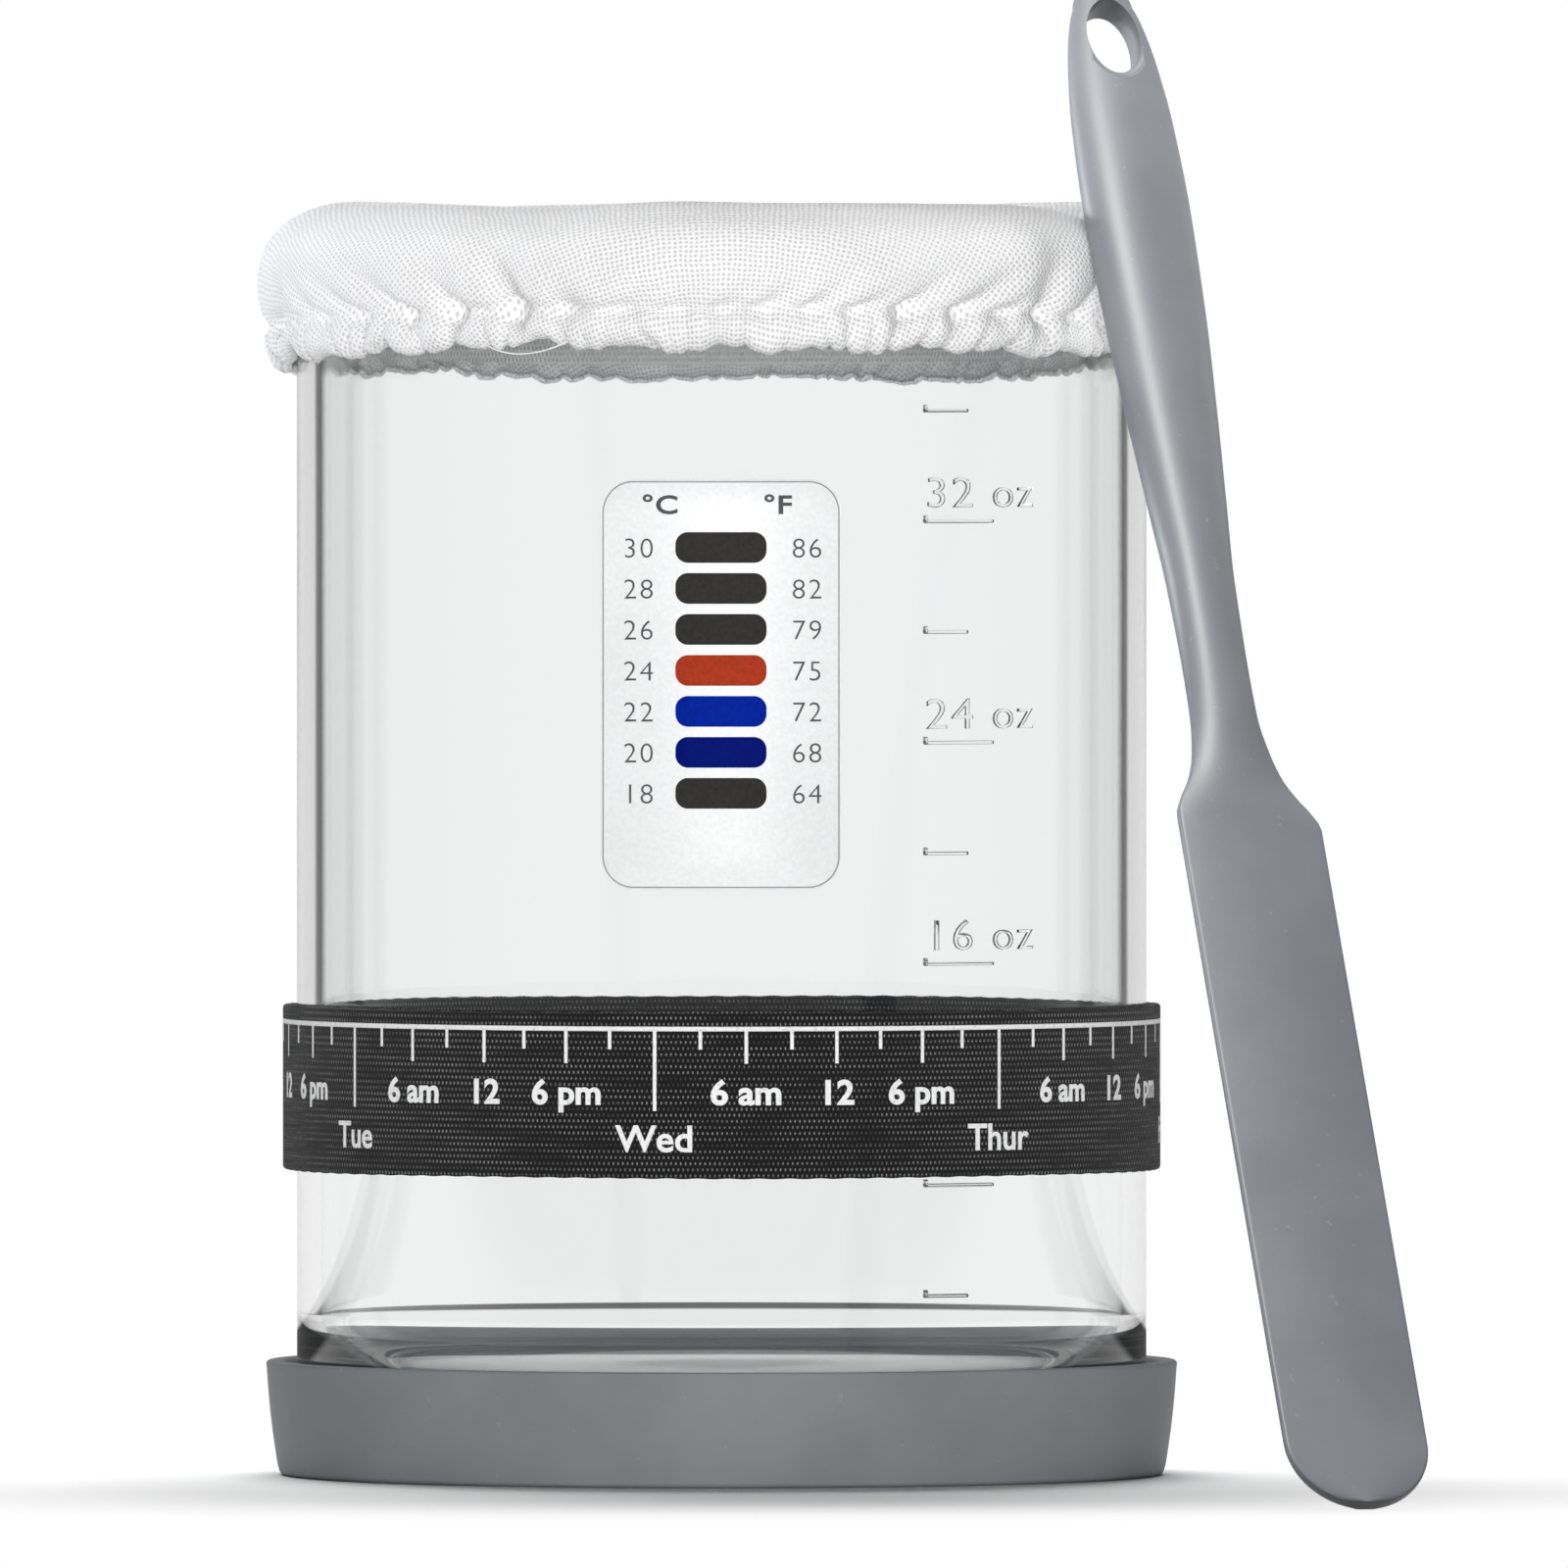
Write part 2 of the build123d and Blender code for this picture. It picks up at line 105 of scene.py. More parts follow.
class NodeSheet:
    """Adds nodes to one tree, of a material, the world or a mesh rule, and joins them."""

    def __init__(self, tree: bpy.types.NodeTree) -> None:
        """Keep the tree that the nodes go into."""
        self.tree = tree

    def add(self, kind: str, inputs: dict | None = None, **settings) -> Node:
        """Add one node.

        Args:
            kind: Blender's name for the kind of node.
            inputs: values or sockets for its inputs, by name or number.
            settings: the node's own settings.

        Returns:
            The new node.
        """
        node = self.tree.nodes.new(kind)
        for key, value in settings.items():
            setattr(node, key, value)
        for key, value in (inputs or {}).items():
            self.put(node.inputs[key], value)
        return node

    def put(self, socket: Socket, value: object) -> None:
        """Fill one input.

        Args:
            socket: the input.
            value: a socket that is joined to it, or a plain value.
        """
        if isinstance(value, Socket):
            self.tree.links.new(value, socket)
        else:
            socket.default_value = value

    def maths(self, operation: str, *values: object) -> Socket:
        """Add one sum.

        Args:
            operation: Blender's name for the sum.
            values: sockets or numbers, in the sum's own order.

        Returns:
            The result.
        """
        node = self.add("ShaderNodeMath", operation=operation)
        for number, value in enumerate(values):
            self.put(node.inputs[number], value)
        return node.outputs[0]

    def steps(self, value: object, low: float, high: float, first: float = 0.0, last: float = 1.0) -> Socket:
        """Ease a value between two levels.

        Args:
            value: what is eased.
            low: the value where the easing starts.
            high: the value where it ends.
            first: the result up to low.
            last: the result from high on.

        Returns:
            The eased value.
        """
        node = self.add(
            "ShaderNodeMapRange",
            {"Value": value, "From Min": low, "From Max": high, "To Min": first, "To Max": last},
            interpolation_type="SMOOTHSTEP",
        )
        return node.outputs[0]

    def blend(self, share: object, first: object, second: object) -> Socket:
        """Blend two colours.

        Args:
            share: how much there is of the second.
            first: a colour or its socket.
            second: a colour or its socket.

        Returns:
            The blended colour.
        """
        node = self.add("ShaderNodeMix", data_type="RGBA")
        for number, value in ((0, share), (6, first), (7, second)):
            if isinstance(value, tuple) and len(value) == 3:
                value = (*value, 1.0)
            self.put(node.inputs[number], value)
        return node.outputs[2]

    def noise(self, place: object, scale: float, detail: float = 3.0, roughness: float = 0.5) -> Socket:
        """Add a smooth random value.

        Args:
            place: where it is read.
            scale: about how many ups and downs it has in a metre.
            detail: how many finer layers it has.
            roughness: how strong the finer layers are.

        Returns:
            The value, near a half.
        """
        inputs = {"Vector": place, "Scale": scale, "Detail": detail, "Roughness": roughness}
        return self.add("ShaderNodeTexNoise", inputs).outputs[0]

    def bump(self, height: object, strength: float, distance: float) -> Socket:
        """Return a normal tilted by a height times distance in metres."""
        inputs = {"Height": height, "Strength": strength, "Distance": distance}
        return self.add("ShaderNodeBump", inputs).outputs[0]

    def place(self) -> Socket:
        """Return the object coordinates."""
        return self.add("ShaderNodeTexCoord").outputs["Object"]

    def parts(self, place: object) -> Sequence[Socket]:
        """Return x, y and z of a place."""
        return self.add("ShaderNodeSeparateXYZ", {"Vector": place}).outputs

    def whole(self, x: object = 0.0, y: object = 0.0, z: object = 0.0) -> Socket:
        """Return the place with this x, y and z."""
        return self.add("ShaderNodeCombineXYZ", {0: x, 1: y, 2: z}).outputs[0]

    def stretched(self, place: object, scale: Place) -> Socket:
        """Return a place with each of its parts scaled."""
        return self.add("ShaderNodeMapping", {"Vector": place, "Scale": scale}).outputs[0]

    def surface(self, out: Node, inputs: dict) -> None:
        """Join a principled surface with these inputs to a material's output."""
        self.put(out.inputs["Surface"], self.add("ShaderNodeBsdfPrincipled", inputs).outputs[0])


def new_material(name: str) -> tuple[Material, NodeSheet, Node]:
    """Make an empty material.

    Args:
        name: its name.

    Returns:
        The material, its sheet of nodes and its output node.
    """
    material = bpy.data.materials.new(name)
    material.use_nodes = True
    material.node_tree.nodes.clear()
    sheet = NodeSheet(material.node_tree)
    return material, sheet, sheet.add("ShaderNodeOutputMaterial")


def shade(colour: Colour, share: float) -> Colour:
    """Return a colour made lighter or darker by a share."""
    return tuple(share * value for value in colour)


@dataclass(frozen=True)
class SiliconeFinish:
    """Matte moulded silicone with a fine skin, faint clouding and a little dust."""

    name: str
    colour: Colour
    roughness: float = 0.46
    shine: float = 0.18
    cloud_scale: float = 60.0
    cloud_range: Pair = (0.93, 1.07)
    cloud_roughness: float = 0.08
    skin_scale: float = 2600.0
    skin_depth: float = 0.04 * MM
    dust_scale: float = 900.0
    dust_colour: Colour = (0.75, 0.75, 0.75)
    dust_share: float = 0.12

    def material(self) -> Material:
        """Return the material."""
        material, sheet, out = new_material(self.name)
        place = sheet.place()
        cloud = sheet.noise(place, self.cloud_scale, 4.0)
        skin = sheet.noise(place, self.skin_scale, 2.0)
        dust = sheet.steps(sheet.noise(place, self.dust_scale, 2.0), 0.70, 0.78)
        dark, light = (shade(self.colour, share) for share in self.cloud_range)
        colour = sheet.blend(sheet.steps(cloud, 0.3, 0.7), dark, light)
        colour = sheet.blend(sheet.maths("MULTIPLY", dust, self.dust_share), colour, self.dust_colour)
        rough = sheet.maths("ADD", self.roughness, sheet.maths("MULTIPLY", cloud, self.cloud_roughness))
        sheet.surface(out, {"Base Color": colour, "Roughness": rough, "Specular IOR Level": self.shine,
                            "Normal": sheet.bump(skin, 0.35, self.skin_depth)})
        return material


@dataclass(frozen=True)
class GlassFinish:
    """Clear pressed glass that lets lamps through and takes a little light in thick places."""

    name: str
    tint: Colour = (0.87, 0.885, 0.87)
    depth: float = 22.0
    skin: Colour = (0.985, 0.987, 0.99)
    shadow: Colour = (0.9, 0.91, 0.91)
    refraction: float = 1.5
    wave_scale: float = 24.0
    wave_height: float = 0.08 * MM
    smear_roughness: float = 0.02

    def material(self) -> Material:
        """Return the material."""
        material, sheet, out = new_material(self.name)
        place = sheet.place()
        wave = sheet.noise(sheet.stretched(place, (1.0, 1.0, 0.35)), self.wave_scale, 2.0)
        rough = sheet.steps(sheet.noise(place, 320.0, 3.0), 0.55, 0.8, 0.0, self.smear_roughness)
        shader = sheet.add("ShaderNodeBsdfPrincipled",
                           {"Base Color": (*self.skin, 1.0), "Roughness": rough, "IOR": self.refraction,
                            "Normal": sheet.bump(wave, 0.5, self.wave_height), "Transmission Weight": 1.0})
        clear = sheet.add("ShaderNodeBsdfTransparent", {"Color": (*self.shadow, 1.0)})
        shadow = sheet.add("ShaderNodeLightPath").outputs["Is Shadow Ray"]
        mixed = sheet.add("ShaderNodeMixShader", {0: shadow, 1: shader.outputs[0], 2: clear.outputs[0]})
        thick = sheet.add("ShaderNodeVolumeAbsorption", {"Color": (*self.tint, 1.0), "Density": self.depth})
        sheet.put(out.inputs["Surface"], mixed.outputs[0])
        sheet.put(out.inputs["Volume"], thick.outputs[0])
        return material


@dataclass(frozen=True)
class ClothFinish:
    """Coarse plain-woven cotton whose threads follow the flat cloth's own pattern map, with shade painted
    into the holes between the threads.
    """

    name: str
    light: Colour = (0.87, 0.87, 0.88)
    # colour of the shade painted into the holes between the threads
    pit_shade: Colour = (0.58, 0.565, 0.54)
    thread_pitch: float = 0.72 * MM
    thread_wander: float = 0.9 * MM
    relief: float = 0.16 * MM

    def material(self) -> Material:
        """Return the material."""
        material, sheet, out = new_material(self.name)
        flat = sheet.add("ShaderNodeUVMap", uv_map="flat").outputs[0]
        wander = sheet.add("ShaderNodeTexNoise", {"Vector": flat, "Scale": 260.0, "Detail": 2.0})
        shift = sheet.add("ShaderNodeVectorMath", {0: wander.outputs["Color"], 1: (0.5, 0.5, 0.5)},
                          operation="SUBTRACT")
        shift = sheet.add("ShaderNodeVectorMath", {0: shift.outputs[0], "Scale": self.thread_wander},
                          operation="SCALE")
        moved = sheet.add("ShaderNodeVectorMath", {0: flat, 1: shift.outputs[0]}, operation="ADD")
        across = sheet.parts(moved.outputs[0])
        turns = math.pi / self.thread_pitch
        warp = sheet.maths("MULTIPLY", across[0], turns)
        weft = sheet.maths("MULTIPLY", across[1], turns)
        hole = sheet.maths("MULTIPLY", sheet.maths("SINE", warp), sheet.maths("SINE", weft))
        hole = sheet.maths("MULTIPLY", hole, hole)
        crown = sheet.maths("MULTIPLY", sheet.maths("COSINE", warp), sheet.maths("COSINE", weft))
        slub = sheet.noise(sheet.stretched(flat, (240.0, 2600.0, 1.0)), 1.0, 2.0)
        fuzz = sheet.noise(flat, 9000.0, 2.0)
        high = sheet.maths("SUBTRACT", sheet.maths("MULTIPLY", crown, 0.3), hole)
        high = sheet.maths("ADD", high, sheet.maths("MULTIPLY", slub, 0.5))
        fray = sheet.maths("MULTIPLY", sheet.maths("SUBTRACT", fuzz, 0.5), 0.5)
        # painted shade: the holes between the threads, frayed a little, are darkened to a brownish grey
        hole_shade = sheet.steps(sheet.maths("ADD", hole, fray), 0.1, 1.0)
        cloud = sheet.noise(flat, 45.0, 3.0)
        light = sheet.blend(sheet.steps(cloud, 0.35, 0.65), self.light, shade(self.light, 0.97))
        sheet.surface(out, {"Base Color": sheet.blend(hole_shade, light, self.pit_shade), "Roughness": 0.9,
                            "Normal": sheet.bump(high, 0.8, self.relief), "Specular IOR Level": 0.2,
                            "Sheen Weight": 0.25, "Sheen Roughness": 0.5})
        return material


@dataclass(frozen=True)
class WebbingFinish:
    """Black elastic webbing: staggered stitches in rows, with highlights painted on the crowns of some
    stitches.
    """

    name: str
    yarn: Colour = (0.012, 0.012, 0.0125)
    # colour of the highlight painted on the stitches' crowns
    glint: Colour = (0.3, 0.3, 0.3)
    stitch_width: float = 0.62 * MM
    row_height: float = 0.77 * MM
    relief: float = 0.16 * MM

    def material(self) -> Material:
        """Return the material."""
        material, sheet, out = new_material(self.name)
        run = sheet.add("ShaderNodeUVMap", uv_map="run").outputs[0]
        parts = sheet.parts(run)
        across = sheet.maths("SINE", sheet.maths("MULTIPLY", parts[0], math.tau / self.stitch_width))
        up = sheet.maths("SINE", sheet.maths("MULTIPLY", parts[1], math.pi / self.row_height))
        up = sheet.maths("MULTIPLY", up, sheet.maths("ABSOLUTE", up))
        knit = sheet.maths("MULTIPLY", across, up)
        wide = sheet.stretched(run, (70.0, 700.0, 1.0))
        chance = sheet.steps(sheet.noise(wide, 1.0, 3.0, 0.7), 0.36, 0.6, 0.12, 1.0)
        # painted highlight: pale spots on the raised crowns of the stitches, here and there
        highlight_spot = sheet.maths("MULTIPLY", sheet.steps(knit, 0.35, 0.7), chance)
        colour = sheet.blend(highlight_spot, self.yarn, self.glint)
        normal = sheet.bump(knit, 0.9, self.relief)
        sheet.surface(out, {"Base Color": colour, "Roughness": 0.82, "Normal": normal,
                            "Specular IOR Level": 0.25, "Sheen Weight": 0.08})
        return material


@dataclass(frozen=True)
class OutlineFinish:
    """A thin dark line just inside the edge of a round-cornered film on the jar."""

    radius: float
    middle: float
    width: float
    height: float
    corner: float
    inset: float = 0.26 * MM
    line: float = 0.12 * MM
    colour: Colour = (0.28, 0.28, 0.29)

    def share(self, sheet: NodeSheet, place: Socket) -> Socket:
        """Add nodes for the line.

        Args:
            sheet: where the nodes go.
            place: the object coordinates.

        Returns:
            One on the line and nought elsewhere.
        """
        parts = sheet.parts(place)
        turn = sheet.maths("ARCTAN2", parts[0], sheet.maths("MULTIPLY", parts[1], -1.0))
        across = sheet.maths("ABSOLUTE", sheet.maths("MULTIPLY", turn, self.radius))
        up = sheet.maths("ABSOLUTE", sheet.maths("SUBTRACT", parts[2], self.middle))
        past = [sheet.maths("MAXIMUM", sheet.maths("SUBTRACT", value, size / 2 - self.corner), 0.0)
                for value, size in ((across, self.width), (up, self.height))]
        squares = [sheet.maths("MULTIPLY", value, value) for value in past]
        reach = sheet.maths("SQRT", sheet.maths("ADD", *squares))
        off = sheet.maths("ABSOLUTE", sheet.maths("SUBTRACT", reach, self.corner - self.inset))
        return sheet.steps(off, 0.4 * self.line, self.line, 1.0, 0.0)


@dataclass(frozen=True)
class FilmFinish:
    """Thin printed or metallised film with a fine satin grain."""

    name: str
    colour: Colour
    roughness: float = 0.36
    metallic: float = 0.0
    grain: float = 0.05
    coat: float = 0.0
    alpha: float = 1.0
    shine: float = 0.5
    outline: OutlineFinish | None = None
    relief: float = 0.04 * MM

    def material(self) -> Material:
        """Return the material."""
        material, sheet, out = new_material(self.name)
        place = sheet.place()
        fine = sheet.noise(place, 1900.0, 2.0)
        broad = sheet.noise(place, 70.0, 3.0)
        dark, light = (shade(self.colour, share) for share in (1 - self.grain, 1 + self.grain))
        mixed = sheet.maths("ADD", sheet.maths("MULTIPLY", fine, 0.7), sheet.maths("MULTIPLY", broad, 0.3))
        colour = sheet.blend(sheet.steps(mixed, 0.35, 0.65), dark, light)
        if self.outline:
            colour = sheet.blend(self.outline.share(sheet, place), colour, self.outline.colour)
        rough = sheet.maths("ADD", self.roughness - 0.05, sheet.maths("MULTIPLY", broad, 0.1))
        sheet.surface(out, {"Base Color": colour, "Roughness": rough, "Metallic": self.metallic,
                            "Normal": sheet.bump(fine, 0.25, self.relief), "Coat Weight": self.coat,
                            "Coat Roughness": 0.12, "Alpha": self.alpha, "Specular IOR Level": self.shine})
        return material


@dataclass(frozen=True)
class InkFinish:
    """Printed ink that is worn thin in places by the surface under it."""

    name: str
    colour: Colour
    worn: Colour
    wear_scale: float = 2200.0
    grain_scale: float = 3000.0
    relief: float = 0.05 * MM

    def material(self) -> Material:
        """Return the material."""
        material, sheet, out = new_material(self.name)
        place = sheet.place()
        wear = sheet.steps(sheet.noise(place, self.wear_scale, 3.0), 0.52, 0.72)
        colour = sheet.blend(sheet.maths("MULTIPLY", wear, 0.5), self.colour, self.worn)
        normal = sheet.bump(sheet.noise(place, self.grain_scale, 2.0), 0.4, self.relief)
        sheet.surface(out, {"Base Color": colour, "Roughness": 0.7, "Normal": normal})
        return material


def linked(name: str, data: bpy.types.ID) -> Item:
    """Put a mesh, text, lamp or camera into the scene.

    Args:
        name: the object's name.
        data: what it shows.

    Returns:
        The new object, at the origin.
    """
    item = bpy.data.objects.new(name, data)
    bpy.context.scene.collection.objects.link(item)
    return item


def new_piece(name: str, points: Sequence, faces: Sequence, material: Material) -> Item:
    """Make a smooth-shaded mesh piece.

    Args:
        name: the piece's name.
        points: its corners, in metres.
        faces: the corners' numbers for each face, seen from outside.
        material: its finish.

    Returns:
        The new object, at the origin.
    """
    mesh = bpy.data.meshes.new(name)
    mesh.from_pydata([tuple(map(float, point)) for point in points], [], [tuple(face) for face in faces])
    mesh.polygons.foreach_set("use_smooth", [True] * len(mesh.polygons))
    mesh.materials.append(material)
    return linked(name, mesh)


def finish_node(name: str, material: Material) -> None:
    """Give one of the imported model's own pieces, whose shape stays as it is, a new finish.

    Args:
        name: the piece's node.
        material: the finish.
    """
    mesh = frame["nodes"][name].data
    mesh.materials.clear()
    mesh.materials.append(material)


def finished_mesh(piece: Item) -> Item:
    """Turn a piece's modifiers into its plain mesh and drop them.

    Args:
        piece: the piece with its modifiers.

    Returns:
        The same piece.
    """
    bpy.context.view_layer.update()
    graph = bpy.context.evaluated_depsgraph_get()
    mesh = bpy.data.meshes.new_from_object(piece.evaluated_get(graph))
    piece.modifiers.clear()
    old, piece.data = piece.data, mesh
    mesh.name = piece.name
    bpy.data.meshes.remove(old)
    return piece


def vertex_places(mesh: Mesh) -> np.ndarray:
    """Read where a mesh's vertices are.

    Args:
        mesh: the mesh.

    Returns:
        A row of x, y, z for each vertex.
    """
    place = np.zeros(len(mesh.vertices) * 3)
    mesh.vertices.foreach_get("co", place)
    return place.reshape(-1, 3)


def corner_numbers(mesh: Mesh) -> np.ndarray:
    """Read which vertex each face corner belongs to.

    Args:
        mesh: the mesh.

    Returns:
        The numbers in the order of the mesh's face corners.
    """
    corners = np.zeros(len(mesh.loops), np.int32)
    mesh.loops.foreach_get("vertex_index", corners)
    return corners


def write_map(mesh: Mesh, name: str, places: np.ndarray) -> None:
    """Write a place for each face corner into a new map of this name."""
    mesh.uv_layers.new(name=name).data.foreach_set("uv", places.astype(np.float32).ravel())


def arc(centre: Pair, radius: float, start: float, end: float, steps: int) -> list[Pair]:
    """Return points on an arc, from one angle to another in degrees."""
    turns = [math.radians(start + (end - start) * number / steps) for number in range(steps + 1)]
    return [(centre[0] + radius * math.cos(turn), centre[1] + radius * math.sin(turn)) for turn in turns]


def tube_faces(rings: int, around: int, first: int = 0) -> list[tuple[int, ...]]:
    """Return the side faces of a tube whose corners are numbered ring after ring.

    Args:
        rings: how many rings it has.
        around: how many corners each ring has.
        first: the number of the first corner.

    Returns:
        The faces.
    """
    faces = []
    for low in range(first, first + (rings - 1) * around, around):
        high = low + around
        faces += [(low + n, high + n, high + (n + 1) % around, low + (n + 1) % around) for n in range(around)]
    return faces


def slab_faces(rows: int, wide: int) -> list[tuple[int, ...]]:
    """Return the faces of a thin closed slab, whose front grid of corners is followed by its back grid.

    Args:
        rows: how many rows each grid has.
        wide: how many corners each row has.

    Returns:
        The faces.
    """
    count = rows * wide
    faces = []
    for row in range(rows - 1):
        for a in range(row * wide, (row + 1) * wide - 1):
            b = a + wide
            faces += [(a, a + 1, b + 1, b), (count + a, count + b, count + b + 1, count + a + 1)]
    rim = list(range(wide)) + [row * wide + wide - 1 for row in range(1, rows)]
    rim += [(rows - 1) * wide + n for n in range(wide - 2, -1, -1)]
    rim += [row * wide for row in range(rows - 2, 0, -1)]
    faces += [(a, count + a, count + b, b) for a, b in zip(rim, rim[1:] + rim[:1])]
    return faces


def turned(name: str, profile: Sequence[Pair], segments: int, material: Material,
           ring: bool = False) -> Item:
    """Turn a profile about the jar's axis.

    Args:
        name: the piece's name.
        profile: radius and height of each point, out along the underside and back in over the top.
        segments: flats round the axis.
        material: its finish.
        ring: True for a closed profile that doesn't touch the axis.

    Returns:
        The closed piece.
    """
    angles = [math.tau * number / segments for number in range(segments)]
    points, rows = [], []
    for radius, height in profile:
        first = len(points)
        if radius < 1e-9:
            points.append((0.0, 0.0, height))
            rows.append([first] * segments)
        else:
            points += [(radius * math.cos(angle), radius * math.sin(angle), height) for angle in angles]
            rows.append(list(range(first, first + segments)))
    faces = []
    pairs = list(zip(rows, rows[1:])) + ([(rows[-1], rows[0])] if ring else [])
    for low, high in pairs:
        for number in range(segments):
            after = (number + 1) % segments
            face = list(dict.fromkeys((low[number], low[after], high[after], high[number])))
            if len(face) > 2:
                faces.append(face)
    return new_piece(name, points, faces, material)


def polar(turn: np.ndarray, reach: object, level: object) -> np.ndarray:
    """Return rows of x, y, z from bearings in radians, distances from the axis and levels."""
    return np.stack([reach * np.sin(turn), -reach * np.cos(turn), level + 0 * turn], axis=-1)


def on_jar(across: np.ndarray, height: np.ndarray, out: object, radius: float, bearing: float) -> np.ndarray:
    """Bend flat places round the jar.

    Args:
        across: metres to the right of the bearing.
        height: metres above the origin.
        out: metres outwards from the radius.
        radius: the radius that the flat plane is laid on.
        bearing: where the flat plane's middle is, in degrees.

    Returns:
        The places as rows of x, y, z.
    """
    return polar(across / radius + math.radians(bearing), radius + out, height)


@dataclass
class Lettering:
    """Plain numbers and words laid round the jar, gathered into one piece."""

    name: str
    radius: float
    proud: float
    root: float
    rounding: float = 0.0
    capital_share: float = 0.729

    def __post_init__(self) -> None:
        """Start with no letters."""
        self.points: list[np.ndarray] = []
        self.faces: list[tuple[int, ...]] = []

    def write(self, words: str, bearing: float, baseline: float, height: float, weight: float = 0.0,
              width: float = 1.0, anchor: Anchor = Anchor.MIDDLE, spacing: float = 1.0) -> None:
        """Add one line of text.

        Args:
            words: the text.
            bearing: where it stands, in degrees.
            baseline: height of its baseline.
            height: height of its capitals.
            weight: how much its strokes are thickened, in metres.
            width: its width as a share of the plain letters' width.
            anchor: which point of it stands at the bearing.
            spacing: the room for each letter as a share of the plain room.
        """
        curve = bpy.data.curves.new(self.name, "FONT")
        curve.body, curve.size, curve.align_x = words, height / self.capital_share, anchor.value
        curve.offset, curve.resolution_u, curve.space_character = weight, 4, spacing
        curve.extrude = (self.proud + self.root) / 2 - self.rounding
        curve.bevel_depth, curve.bevel_resolution = self.rounding, 2 if self.rounding else 0
        writer = linked(self.name, curve)
        bpy.context.view_layer.update()
        graph = bpy.context.evaluated_depsgraph_get()
        mesh = bpy.data.meshes.new_from_object(writer.evaluated_get(graph))
        flat = np.array([vertex.co for vertex in mesh.vertices])
        first = sum(len(each) for each in self.points)
        out = flat[:, 2] + (self.proud - self.root) / 2
        self.points.append(on_jar(flat[:, 0] * width, baseline + flat[:, 1], out, self.radius, bearing))
        self.faces += [tuple(first + number for number in face.vertices) for face in mesh.polygons]
        bpy.data.objects.remove(writer)
        bpy.data.meshes.remove(mesh)
        bpy.data.curves.remove(curve)

    def piece(self, material: Material) -> Item:
        """Return all lines as one piece.

        Args:
            material: its finish.

        Returns:
            The piece, bent round the jar.
        """
        made = new_piece(self.name, np.concatenate(self.points), self.faces, material)
        mesh = bmesh.new()
        mesh.from_mesh(made.data)
        bmesh.ops.remove_doubles(mesh, verts=mesh.verts, dist=2e-6)
        mesh.to_mesh(made.data)
        mesh.free()
        made.data.set_sharp_from_angle(angle=math.radians(35))
        return made


def grown(name: str, sizes: dict[str, float], rule: Callable[[NodeSheet, dict], Socket],
          material: Material, start: Mesh | None = None) -> Item:
    """Make a repeated piece with Geometry Nodes and return it as a plain mesh.

    Args:
        name: the piece's name.
        sizes: the tree's named inputs.
        rule: adds the nodes and returns the geometry, from the sheet and the inputs' sockets.
        material: the finish that the tree sets.
        start: a mesh that the rule starts from, such as a path.

    Returns:
        The finished piece, at the origin.
    """
    tree = bpy.data.node_groups.new(name, "GeometryNodeTree")
    tree.interface.new_socket(name="Geometry", in_out="INPUT", socket_type="NodeSocketGeometry")
    names = {}
    for key in sizes:
        socket = tree.interface.new_socket(name=key, in_out="INPUT", socket_type="NodeSocketFloat")
        names[key] = socket.identifier
    tree.interface.new_socket(name="Geometry", in_out="OUTPUT", socket_type="NodeSocketGeometry")
    sheet = NodeSheet(tree)
    inlet = sheet.add("NodeGroupInput")
    outlet = sheet.add("NodeGroupOutput")
    sockets = {key: inlet.outputs[key] for key in ["Geometry", *sizes]}
    realized = sheet.add("GeometryNodeRealizeInstances", {"Geometry": rule(sheet, sockets)})
    painted = sheet.add("GeometryNodeSetMaterial", {"Geometry": realized.outputs[0], "Material": material})
    sheet.put(outlet.inputs[0], painted.outputs[0])
    piece = linked(name, start or bpy.data.meshes.new(name))
    modifier = piece.modifiers.new(name, "NODES")
    modifier.node_group = tree
    for key, value in sizes.items():
        modifier[names[key]] = float(value)
    return finished_mesh(piece)


def bent_round_jar(sheet: NodeSheet, shape: Socket, radius: object, bearing: object) -> Socket:
    """Add nodes that bend a flat run, with X along, Y up and Z outwards, round the jar.

    Args:
        sheet: where the nodes go.
        shape: the flat run.
        radius: the radius that it is laid on.
        bearing: where it starts, in radians.

    Returns:
        The bent run.
    """
    x, y, z = sheet.parts(sheet.add("GeometryNodeInputPosition").outputs[0])
    turn = sheet.maths("ADD", sheet.maths("DIVIDE", x, radius), bearing)
    reach = sheet.maths("ADD", radius, z)
    right = sheet.maths("MULTIPLY", reach, sheet.maths("SINE", turn))
    front = sheet.maths("MULTIPLY", reach, sheet.maths("COSINE", turn))
    bent = sheet.whole(right, sheet.maths("MULTIPLY", front, -1.0), y)
    return sheet.add("GeometryNodeSetPosition", {"Geometry": shape, "Position": bent}).outputs[0]


def repeated(sheet: NodeSheet, points: Socket, shape: Socket, size: Socket, **inputs: Socket) -> Socket:
    """Add nodes that set a shape at points.

    Args:
        sheet: where the nodes go.
        points: where the shape stands.
        shape: what is repeated.
        size: its scale at each point.
        inputs: further inputs by name, such as its turn.

    Returns:
        The repeated shape.
    """
    given = {"Points": points, "Instance": shape, "Scale": size, **inputs}
    return sheet.add("GeometryNodeInstanceOnPoints", given).outputs[0]


